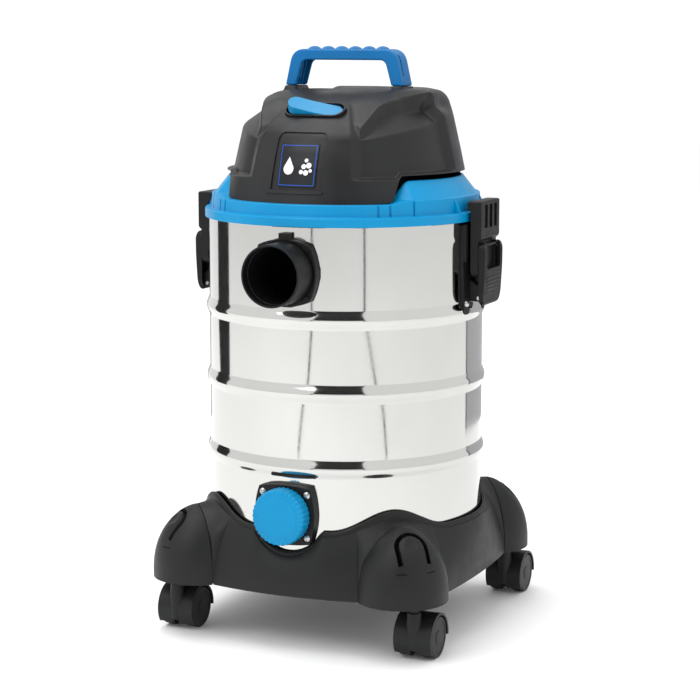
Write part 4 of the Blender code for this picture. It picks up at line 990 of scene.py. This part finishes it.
def cover_azimuths():
    """Even steps all round, and finer ones where the section changes quickly."""
    half = {round(1.5 * i, 3) for i in range(121)}
    for low, high, step in ((25.5, 32.5, 0.6), (43.5, 51.5, 1.0), (83.0, 91.0, 0.7), (126.0, 133.0, 1.0)):
        half |= {round(low + step * i, 3) for i in range(int((high - low) / step) + 1)}
    return sorted(half | {round(360 - azimuth, 3) for azimuth in half if 0 < azimuth < 180})


def stacked(name, loops):
    """A closed solid through rings of points, one above another."""
    bm = bmesh.new()
    rings = [[bm.verts.new(point) for point in loop] for loop in loops]
    bm.faces.new(rings[0])
    bm.faces.new(rings[-1])
    for below, above in zip(rings, rings[1:]):
        for i in range(len(below)):
            k = (i + 1) % len(below)
            bm.faces.new((below[i], below[k], above[k], above[i]))
    return add(name, bm)


def rounded_rectangle(half_x, half_y, radius, steps=8, centre=(0.0, 0.0)):
    """Outline of a rectangle with round corners."""
    points = []
    for quarter, (sx, sy) in enumerate(((1, 1), (-1, 1), (-1, -1), (1, -1))):
        corner = (centre[0] + sx * (half_x - radius), centre[1] + sy * (half_y - radius))
        points += arc(corner, radius, 90 * quarter, 90 * quarter + 90, steps)
    return points


def stadium(half_length, radius, steps=24):
    """Outline with straight sides and half-round ends."""
    straight = half_length - radius
    return arc((straight, 0), radius, -90, 90, steps) + arc((-straight, 0), radius, 90, 270, steps)


def switch_frame():
    """Places a shape made flat at the origin on the front shoulder, tilted towards the front."""
    return Matrix.Translation(SWITCH_AT) @ Matrix.Rotation(SWITCH_TILT, 4, "X")


def face_shell(name, low_out, high_out, outline, rows=24):
    """A piece of the cover's front, between two distances from its surface and inside an outline in
    X and Z."""
    bottom = min(z for _, z in outline) - 0.002
    top = max(z for _, z in outline) + 0.002
    heights = [mix(bottom, top, i / rows) for i in range(rows + 1)]

    def section(azimuth):
        inner = [(outline_radius(azimuth, z) + low_out, z) for z in heights]
        return inner[::-1] + [(outline_radius(azimuth, z) + high_out, z) for z in heights]

    shell = spread(name, section, [1.5 * i for i in range(240)])
    return keep_inside(shell, prism("keep", outline, -0.150, -0.085, "Y"))


# Height, and how far the boss stands out round the handle's foot there
BOSS_FLARES = ((0.5380, 0.0170), (0.5420, 0.0130), (0.5460, 0.0096), (0.5500, 0.0068), (0.5535, 0.0045),
               (0.5565, 0.0026), (0.5585, 0.0015), (0.5598, 0.0011), (0.5602, 0.0007))


def handle_boss(side):
    """Flared collar that blends the handle's foot into the crown."""
    middle_x = (HANDLE_HIGH.x + HANDLE_INNER) / 2
    middle_y = (HANDLE_LOW.y + HANDLE_HIGH.y) / 2
    half_x, half_y = (HANDLE_HIGH.x - HANDLE_INNER) / 2, (HANDLE_HIGH.y - HANDLE_LOW.y) / 2
    loops = []
    for z, flare in BOSS_FLARES:
        outline = rounded_rectangle(half_x + flare, half_y + flare, 0.0035 + flare)
        loops.append([(side * middle_x + x, middle_y + y, z) for x, y in outline])
    return stacked("boss", loops)


def make_cover():
    """Motor cover with its label frame, switch hole, handle bosses, ports and vents."""
    cover = spread("motor_housing", cover_section, cover_azimuths(), smooth=38)
    frame_outline = fillet([(-0.0285, 0.4610, 0.001), (0.0270, 0.4610, 0.001), (0.0275, 0.5175, 0.008),
                            (-0.0255, 0.5175, 0.008)], 0, 6)
    ledge_outline = fillet([(-0.0330, 0.4580), (0.0290, 0.4580), (0.0290, 0.4615), (-0.0330, 0.4615)],
                           0.0015, 4)
    cut(cover, face_shell("label_frame", -0.0018, 0.02, frame_outline))
    join(cover, face_shell("label_ledge", -0.002, 0.0012, ledge_outline, 6))
    flat = prism("switch_flat", stadium(0.0385, 0.0165), 0.0002, 0.030, "Z")
    hole = prism("switch_hole", stadium(0.0334, 0.0119), -0.030, 0.030, "Z")
    for tool in (flat, hole):
        moved(tool, switch_frame())
    boss = bar("Y", (0, BLOWER_Z), 0.090, 0.1255, PORT_R + 0.0065, ROUND, 0.0015)
    cut(boss, turned("core", ((0, 0.44), (0.1045, 0.44), (0.1045, 0.56), (0, 0.56)), FINE))
    port_hole = bar("Y", (0, BLOWER_Z), 0.080, 0.140, PORT_R + 0.0003, ROUND)
    cord_hole = bar("Y", (CORD.x, CORD.z), 0.085, 0.130, 0.0072, 48)
    join(cover, boss, *(handle_boss(side) for side, _ in SIDES))
    cut(cover, flat, hole, port_hole, cord_hole)
    lean = Matrix.Translation((0, -0.1135, 0.5165)) @ Matrix.Rotation(math.radians(-14), 4, "X")
    for side, _ in SIDES:
        for i in range(6):
            vent = box("vent", (-0.0018, -0.006, -0.0130), (0.0018, 0.006, 0.0130))
            cut(cover, moved(vent, Matrix.Rotation(math.radians(side * (138 + 3.6 * i)), 4, "Z") @ lean))
    show(cover, "head", "head_grey", "motor_cover")


# ---------------------------------------------------------------- handle, switch, label and ports

def make_handle():
    """Carrying handle: a channel that opens inwards, with flutes in its posts and finger bumps on top."""
    low, high = HANDLE_LOW, HANDLE_HIGH
    top, foot, middle_y, half = high.z - 0.0030, low.z, (low.y + high.y) / 2, (high.y - low.y) / 2
    outside = [(low.x, foot, 0), (-0.0575, top, 0.0130), (0.0575, top, 0.0130), (high.x, foot, 0)]
    inside = [(HANDLE_INNER, foot, 0), (0.0462, 0.5868, 0.0060), (-0.0462, 0.5868, 0.0060),
              (-HANDLE_INNER, foot, 0)]
    handle = soften(prism("handle", fillet(outside + inside, 0, 10), -half, half, "Y"), 0.0022, 4, 40)
    wall = 0.0034
    under = foot - 0.002
    channel = [(low.x + 0.0036, under, 0), (-0.0545, top - wall, 0.0110), (0.0545, top - wall, 0.0110),
               (high.x - 0.0036, under, 0), (0.0450, under, 0), (0.0380, 0.5800, 0.0060),
               (-0.0380, 0.5800, 0.0060), (-0.0450, under, 0)]
    channel = prism("channel", fillet(channel, 0, 10), -half + wall, half - wall, "Y")
    cut(handle, soften(channel, 0.0012, 3, 40))
    for side, _ in SIDES:
        for y in (-0.0038, 0.0038):
            flute = [(side * 0.0640, foot + 0.0006), (side * 0.0555, 0.5900), (side * 0.0480, 0.5900),
                     (side * 0.0550, foot + 0.0006)]
            join(handle, prism("flute", flute, y - 0.0008, y + 0.0008, "Y"))
        slot_at = Vector((side * 0.0606, -0.0048, 0.5815))
        groove = prism("groove", stadium(0.0115, 0.0014, 12), -0.0022, 0.02, "Z")
        lean = Matrix.Rotation(side * math.radians(76), 4, "Y")
        cut(handle, moved(groove, Matrix.Translation(slot_at) @ lean))
    core_half = half - wall + 0.001
    join(handle, box("grip_core", (-0.044, -core_half, 0.5885), (0.044, core_half, top - 0.001)))
    bumps = 6
    for i in range(bumps):
        bm = bmesh.new()
        bmesh.ops.create_uvsphere(bm, u_segments=40, v_segments=24, radius=1.0)
        bump = add("bump", bm)
        x = mix(-0.0385, 0.0385, i / (bumps - 1))
        squash = Matrix.Diagonal((0.0076, 0.0132, 0.0072, 1))
        join(handle, moved(bump, Matrix.Translation((x, 0.0, top - 0.0042)) @ squash))
    show(moved(handle, Matrix.Translation((0, middle_y, 0))), "head", "handle_blue", "carry_handle")


def make_switch():
    """Cup in the front shoulder with a pointer notch, and the rocker, pressed down on its right."""
    half_length, half_width, wall = 0.0330, 0.0115, 0.0018
    cup = soften(prism("switch_cup", stadium(half_length, half_width), -0.0150, 0.0026, "Z"), 0.0006, 3)
    pocket = prism("pocket", stadium(half_length - wall, half_width - wall), -0.0125, 0.0050, "Z")
    notch = box("notch", (0.0010, -0.0140, -0.0030), (0.0024, -0.0080, 0.0060))
    cut(cup, pocket, notch)
    show(moved(cup, switch_frame()), "head", "switch_black", "switch_housing")

    half, half_y, end_top, dish = 0.0288, half_width - 0.0026, 0.0062, 0.0014
    steps = 24
    shares = [mix(-1, 1, i / steps) for i in range(steps + 1)]
    top = [(share * half, end_top - dish * (1 - share * share)) for share in shares]
    outline = top + [(half, -0.0030), (0.012, -0.0062), (-0.012, -0.0062), (-half, -0.0030)]
    rocker = prism("rocker", outline, -half_y, half_y, "Y")
    keep_inside(rocker, prism("keep", stadium(half, half_y), -0.030, 0.030, "Z"))
    soften(rocker, 0.0016, 4, 30)
    moved(rocker, switch_frame() @ Matrix.Rotation(ROCKER_TILT, 4, "Y"))
    show(rocker, "rocker", "switch_blue", "switch_rocker")


def drop_outline(centre, radius):
    """A water drop, point up."""
    points = arc(centre, radius, -215, 35, 28)
    return points + [(centre[0], centre[1] + 2.1 * radius)]


def printed(obj, ink):
    """Shows a piece of the label in its own ink."""
    show(obj, "head", "label").data.materials[0] = PRINTS[ink]


def make_label():
    """Dark plate on the cover's front with a thin border and plain wet and dry symbols."""
    half_x, low, high = 0.0205, 0.4645, 0.5065

    def inset(by, corner):
        return rounded_rectangle(half_x - by, (high - low) / 2 - by, corner, 6, (0, (low + high) / 2))

    plate, inner, inmost = inset(0.0, 0.0015), inset(0.0013, 0.0010), inset(0.0020, 0.0008)
    show(face_shell("label_panel", -0.0017, -0.0004, plate), "head", "label", "label_plate")
    border = face_shell("label_border", -0.0005, -0.0002, inner)
    cut(border, face_shell("inmost", -0.0010, 0.0010, inmost))
    printed(border, "blue")
    drop = face_shell("label_drop", -0.0005, -0.0002, drop_outline((-0.0092, 0.4820), 0.0055))
    printed(drop, "white")
    grains = []
    for x, z, radius in ((0.0048, 0.4792, 0.0021), (0.0098, 0.4786, 0.0026), (0.0144, 0.4806, 0.0017),
                         (0.0072, 0.4845, 0.0024), (0.0124, 0.4856, 0.0027), (0.0094, 0.4905, 0.0019)):
        grains.append(face_shell("grain", -0.0005, -0.0002, arc((x, z), radius, 0, 345, 23), 8))
    printed(merged("label_dust", grains), "white")


def make_ports():
    """Blower outlet with a ring at its foot, and the ribbed gland of the cord inlet."""
    port = pipe("exhaust_port", PORT_BORE_R, PORT_R, BLOWER_FACE_Y - 0.100)
    ring_line = [(PORT_R - 0.001, 0, 0), (PORT_R + 0.0055, 0, 0.0008), (PORT_R + 0.0055, 0.004, 0.0012),
                 (PORT_R - 0.001, 0.004, 0)]
    ring = turned("ring", fillet(ring_line, 0, 4), ROUND)
    aim(port, (0, 1, 0), (0, 0.100, BLOWER_Z))
    aim(ring, (0, 1, 0), (0, 0.1260, BLOWER_Z))
    show(join(port, ring), "head", "black_plastic", "blower_port")
    low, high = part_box("cord_inlet")
    rings = [(0.0040, 0, 0), (0.0070, 0, 0)]
    length = high.y - low.y
    for i in range(4):
        z = mix(0.55, 0.92, i / 4) * length
        rings += [(0.0070, z, 0.0003), (0.0060, z + 0.0006, 0.0003), (0.0060, z + 0.0014, 0.0003),
                  (0.0070, z + 0.0020, 0.0003)]
    rings += [(0.0066, length, 0.0008), (0.0040, length, 0.0004)]
    gland = aim(turned("cord_gland", fillet(rings, 0, 3), 64), (0, 1, 0), (CORD.x, low.y, CORD.z))
    show(gland, "head", "black_plastic", "cord_inlet")


# ---------------------------------------------------------------- latches

ARM_HALF = 0.0265
EAR_Y = 0.0165
EAR_HALF = 0.0025
PIN_HOLE_R = 0.0023
BRACKET_R = TANK_R + 0.0034
ARM_FACE_X = 0.1565
ARM_BLOCK_X = 0.1600


def make_bracket(name, pin):
    """Bracket on the tank, with a rail up each side, ears for the pin, and two feet."""
    half_line = [(0.0320, 0.4245, 0.002), (0.0320, 0.3880, 0.004), (0.0308, 0.3700, 0.004),
                 (0.0300, 0.3520, 0.004), (0.0300, 0.3330, 0.0045), (0.0190, 0.3330, 0.0045),
                 (0.0190, 0.3458, 0.002)]
    outline = fillet(half_line + flipped(half_line[::-1], -1), 0, 5)
    bracket = keep_inside(prism(name, outline, 0.09, 0.16, "X"),
                          tank_ring(TANK_R + 0.0002, TANK_R + 0.0036, 0.32, 0.43))
    soften(bracket, 0.0006, 2)
    ear_line = fillet([(0.1440, 0.3460, 0), (pin.x + 0.0038, 0.3460, 0.002),
                       (pin.x + 0.0038, 0.3600, 0.003), (0.1440, 0.3680, 0)], 0, 5)
    for end in (-1, 1):
        rail = tank_ring(TANK_R + 0.0020, TANK_R + 0.0062, 0.3870, 0.4243)
        keep_inside(rail, box("keep", (0.09, end * 0.0284, 0.38), (0.16, end * 0.0319, 0.43)))
        ear = prism("ear", ear_line, end * EAR_Y - EAR_HALF, end * EAR_Y + EAR_HALF, "Y")
        join(bracket, soften(rail, 0.0006, 2), soften(ear, 0.0004, 2))
    return cut(bracket, bar("Y", (pin.x, pin.z), -0.03, 0.03, PIN_HOLE_R, 48))


def tank_ring(inner, outer, low, high):
    """A band round the tank, for pieces that follow its wall."""
    return turned("tank_ring", ((inner, low), (outer, low), (outer, high), (inner, high)), 2 * FINE)


def bracket_rivets(name):
    """Domed rivet in each foot of a bracket."""
    dome_line = [(0, 0.0030)] + arc((0, -0.0004), 0.0034, 80, 8, 8) + [(0.0034, -0.0012), (0, -0.0012)]
    rivets = []
    for end in (-1, 1):
        angle = math.asin(end * 0.0247 / TANK_R)
        out = Vector((math.cos(angle), math.sin(angle), 0))
        rivets.append(aim(turned("rivet", dome_line, 32), out, out * BRACKET_R + Vector((0, 0, 0.3440))))
    return merged(name, rivets)


def make_arm(name, pin, lever_at):
    """Arm that swings on the bracket's pin, with three slots in its block and the hook at its top."""
    under, hook_top, reach_x = 0.4382, 0.4480, 0.1450
    back = TANK_R + 0.0034 + 0.0022
    line = [(reach_x, under, 0.001), (back, under, 0.001), (back, 0.3700, 0.001),
            (ARM_FACE_X, 0.3700, 0.001), (ARM_FACE_X, 0.4075, 0.001), (ARM_BLOCK_X, 0.4105, 0.002),
            (ARM_BLOCK_X, hook_top, 0.0020), (reach_x, hook_top, 0.0030)]
    arm = prism(name, fillet(line, 0, 5), -ARM_HALF, ARM_HALF, "Y")
    front = fillet([(-ARM_HALF, 0.3705, 0.011), (ARM_HALF, 0.3705, 0.011), (ARM_HALF, hook_top, 0.0025),
                    (-ARM_HALF, hook_top, 0.0025)], 0, 8)
    keep_inside(arm, prism("front", front, 0.12, 0.18, "X"))
    soften(arm, 0.0008, 3, 40)
    neck = [(back, 0.3800)] + arc((pin.x, pin.z), 0.0051, 180, 360, 24) + [(ARM_FACE_X, 0.3800)]
    join(arm, prism("neck", neck, -0.0130, 0.0130, "Y"))
    cut(arm, bar("Y", (pin.x, pin.z), -0.03, 0.03, PIN_HOLE_R, 48))
    for i in range(3):
        y = mix(-0.0125, 0.0145, i / 2)
        window = rounded_rectangle(0.0043, 0.0118, 0.0012, 5, (y, 0.4322))
        cut(arm, prism("slot", window, 0.1562, 0.170, "X"))
        join(arm, box("slat", (0.1560, y - 0.0006, 0.4200), (0.1588, y + 0.0006, 0.4444)))
    for end in (-1, 1):
        lug = box("lug", (0.1560, end * EAR_Y - 0.0022, lever_at.z - 0.0030),
                  (lever_at.x + 0.0018, end * EAR_Y + 0.0022, lever_at.z + 0.0030))
        join(arm, soften(lug, 0.0006, 2))
    return cut(arm, bar("Y", (lever_at.x, lever_at.z), -0.024, 0.024, 0.0018, 48))


def make_pull(name, lever_at):
    """Pull lever on the arm: two raised cheeks round a dark recess, then a ribbed thumb pad."""
    half = ARM_HALF - 0.0008
    shell = arc((lever_at.x, lever_at.z), 0.0030, 180, 20, 16)
    shell += [(0.1643, 0.3985, 0.004), (0.1641, 0.3800, 0.004), (0.1628, 0.3560, 0.004),
              (0.1618, 0.3440, 0.001), (0.1600, 0.3415, 0.001), (0.1572, 0.3435, 0.001)]
    lever = prism(name, fillet(shell, 0, 4), -half, half, "Y")
    face = fillet([(-half, 0.3412, 0.0150), (half, 0.3412, 0.0150), (half, 0.4062, 0.0080),
                   (-half, 0.4062, 0.0080)], 0, 10)
    keep_inside(lever, prism("face", face, 0.14, 0.18, "X"))
    soften(lever, 0.0010, 3, 40)
    hollow = box("hollow", (0.1500, -0.0230, 0.3300), (0.1606, 0.0230, 0.4200))
    opening = fillet([(-0.0195, 0.3790, 0.0040), (0.0195, 0.3790, 0.0040), (0.0195, 0.4200, 0),
                      (-0.0195, 0.4200, 0)], 0, 6)
    cut(lever, hollow, prism("opening", opening, 0.150, 0.170, "X"))
    for end in (-1, 1):
        crease = [(end * 0.0232, 0.3745, 0), (end * 0.0232, 0.3985, 0.004), (end * 0.0242, 0.4010, 0)]
        crease = fillet(crease, 0, 5, False)
        crease += [(y - end * 0.0011, z) for y, z in crease[::-1]]
        cut(lever, prism("crease", crease, 0.1634, 0.170, "X"))
    for i in range(6):
        reach = 0.0130 + 0.0013 * i
        at = (0.1612 + 0.0004 * i, 0.3500 + 0.0040 * i)
        join(lever, bar("Y", at, -reach, reach, 0.0012, 16, 0.0003))
    return join(lever, bar("Y", (lever_at.x, lever_at.z), -0.0243, 0.0243, 0.0014, 32))


def make_latch(side, label):
    """One side's latch, made for the right and mirrored for the left."""
    mirror = Matrix.Diagonal((side, 1, 1, 1))
    pin, lever_at = (mirror @ pivot_of(f"{joint}_{label}") for joint in ("latch_swing", "lever_swing"))
    bracket = moved(make_bracket(f"bracket_{label}", pin), mirror)
    show(bracket, "root", "black_plastic", f"latch_bracket_{label}")
    show(moved(bracket_rivets(f"bracket_rivets_{label}"), mirror), "root", "pin_steel")
    arm = moved(make_arm(f"arm_{label}", pin, lever_at), mirror)
    show(arm, f"latch_{label}", "black_plastic", f"latch_hook_{label}")
    pull = moved(make_pull(f"pull_{label}", lever_at), mirror)
    show(pull, f"lever_{label}", "black_plastic", f"latch_lever_{label}")


# ---------------------------------------------------------------- filter under the lid

def make_filter():
    """Pleated paper cartridge between two end rings, and the plate and knob that hold it on."""
    low, high = (corner.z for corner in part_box("filter_cartridge"))
    pleats = 64

    def pleat(azimuth):
        share = 0.5 + 0.5 * math.cos(math.radians(azimuth * pleats))
        crest, trough = 0.0612, 0.0535
        outer = mix(trough, crest, share ** 0.8)
        inner = outer - 0.0065
        return [(inner, low + 0.002), (outer, low + 0.002), (outer, high - 0.002), (inner, high - 0.002)]

    show(spread("pleats", pleat, even(12 * pleats)), "head", "filter_paper", "filter_cartridge")
    for name, z0, z1 in (("lower", low, low + 0.005), ("upper", high - 0.005, high)):
        section = fillet([(0.0425, z0), (0.0620, z0), (0.0620, z1), (0.0425, z1)], 0.0010, 4)
        show(turned(f"filter_ring_{name}", section, ROUND), "head", "rubber")
    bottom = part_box("filter_retainer")[0].z

    def knob(azimuth):
        lobe = 0.5 + 0.5 * math.cos(math.radians(azimuth * 8))
        grip = 0.0128 + 0.0017 * lobe
        return fillet([(0, bottom, 0), (grip - 0.001, bottom, 0.0015), (grip, bottom + 0.017, 0.0015),
                       (0.0640, 0.3440, 0.0010), (0.0640, 0.3490, 0.0010), (0.0400, 0.3495, 0),
                       (0.0060, 0.3480, 0), (0.0060, 0.3525, 0), (0, 0.3525, 0)], 0, 4, False)

    plate = spread("filter_plate", knob, [2.5 * i for i in range(144)])
    show(plate, "head", "black_plastic", "filter_retainer")


# ---------------------------------------------------------------- stage, light and camera

def tone_finish(name, colour, roughness=0.85):
    """Plain matt finish for the stage."""
    made, tree, shader = nodes_of(name, roughness)
    two_tones(tree, shader, noise(tree, 0.8, 3), colour, 0.99, 1.0)
    return made


def make_floor():
    """A wide pale disc, so that the tank mirrors it on every side."""
    bm = bmesh.new()
    bmesh.ops.create_circle(bm, cap_ends=True, segments=128, radius=9.0)
    floor = add("floor", bm)
    floor.data.materials.append(tone_finish("floor_pale", (0.94, 0.94, 0.94)))


def make_flag(name, distance, edges, tone):
    """A curved card round the object that only reflections show. Its edges are rows of (height, first
    azimuth, last azimuth)."""
    steps = 24
    bm = bmesh.new()
    rows = []
    for height, first, last in edges:
        angles = [math.radians(mix(first, last, i / steps)) for i in range(steps + 1)]
        rows.append([bm.verts.new((distance * math.sin(a), -distance * math.cos(a), height))
                     for a in angles])
    for below, above in zip(rows, rows[1:]):
        for i in range(steps):
            bm.faces.new((below[i], below[i + 1], above[i + 1], above[i]))
    flag = add(name, bm)
    flag.data.materials.append(tone_finish(f"{name}_tone", (tone, tone, tone * 1.04), 0.9))
    flag.visible_camera = False
    flag.visible_diffuse = False
    flag.visible_shadow = False


# Height, and the azimuths of the two thin lines that stand in the middle of the tank's reflection
LINE_EDGES = ((0.0, -14, 56), (0.05, -10.5, 53.5), (0.12, -5, 46), (0.19, -2, 38), (0.40, -1.5, 37.5))
LINE_HALF = 0.8


def make_cards():
    """Dark cards that the tank mirrors, as the edges of the lights and of a studio round it."""
    for name, column in (("flag_line_left", 1), ("flag_line_right", 2)):
        edges = [(row[0], row[column] - LINE_HALF, row[column] + LINE_HALF) for row in LINE_EDGES]
        make_flag(name, 1.1, edges, 0.12)
    make_flag("flag_left", 0.775, ((0.135, -98.0, -81.5), (0.22, -101.0, -81.5), (1.4, -101.0, -81.5)), 0.015)
    make_flag("flag_front", 1.3, ((0.37, -1.0, 38.0), (1.9, -1.0, 38.0)), 0.015)
    make_flag("flag_rear", 1.15, ((0.0, 140.0, 230.0), (1.1, 140.0, 230.0)), 0.40)
    make_flag("flag_rear_edge", 1.14, ((0.0, 138.4, 140.2), (1.1, 138.4, 140.2)), 0.05)


def area_light(name, at, target, size, power, mirrored=False):
    """A soft rectangular light that the camera doesn't see, and that shines show only if mirrored."""
    data = bpy.data.lights.new(name, "AREA")
    data.shape = "RECTANGLE"
    data.size, data.size_y = size
    data.energy = power
    light = bpy.data.objects.new(name, data)
    light.location = at
    light.rotation_euler = (Vector(target) - Vector(at)).to_track_quat("-Z", "Y").to_euler()
    light.visible_camera = False
    light.visible_glossy = mirrored
    bpy.context.scene.collection.objects.link(light)
    return light


def make_lights():
    """A broad light overhead, a key at the front left, and weak fills."""
    area_light("top", (-0.45, -0.35, 2.75), (0, 0, 0.5), (2.4, 1.5), 34, True)
    area_light("key", (-0.7, -1.9, 2.1), (0, 0, 0.5), (1.4, 1.0), 14, True)
    area_light("fill", (2.3, -1.6, 1.7), (0, 0, 0.3), (1.6, 1.8), 3)
    area_light("rear", (-0.6, 2.4, 2.0), (0, 0, 0.3), (1.8, 1.6), 8)


WORLD_LIGHT = 1.06


def make_world():
    """Plain white on every side."""
    world = bpy.data.worlds.new("studio")
    world.use_nodes = True
    shade = world.node_tree.nodes["Background"]
    shade.inputs["Color"].default_value = (1, 1, 1, 1)
    shade.inputs["Strength"].default_value = WORLD_LIGHT
    bpy.context.scene.world = world


def make_camera():
    """Seen from the front and a little from the right, looking slightly down."""
    data = bpy.data.cameras.new("camera")
    data.sensor_width = 36.0
    data.lens = 104.7
    data.shift_x = 0.0056
    camera = bpy.data.objects.new("camera", data)
    camera.location = (0.8627, -1.9376, 0.622)
    camera.rotation_euler = (math.radians(90 - 9.06), 0, math.radians(24))
    bpy.context.scene.collection.objects.link(camera)
    bpy.context.scene.camera = camera


make_tank()
make_inlet()
make_drain()
make_dolly()
for corner_name, _, _ in CORNERS:
    make_caster(corner_name)
make_collar()
make_cover()
make_handle()
make_switch()
make_label()
make_ports()
for latch_side, latch_label in SIDES:
    make_latch(latch_side, latch_label)
make_filter()

make_floor()
make_cards()
make_world()
make_lights()
bpy.context.scene.view_settings.view_transform = "Standard"
make_camera()
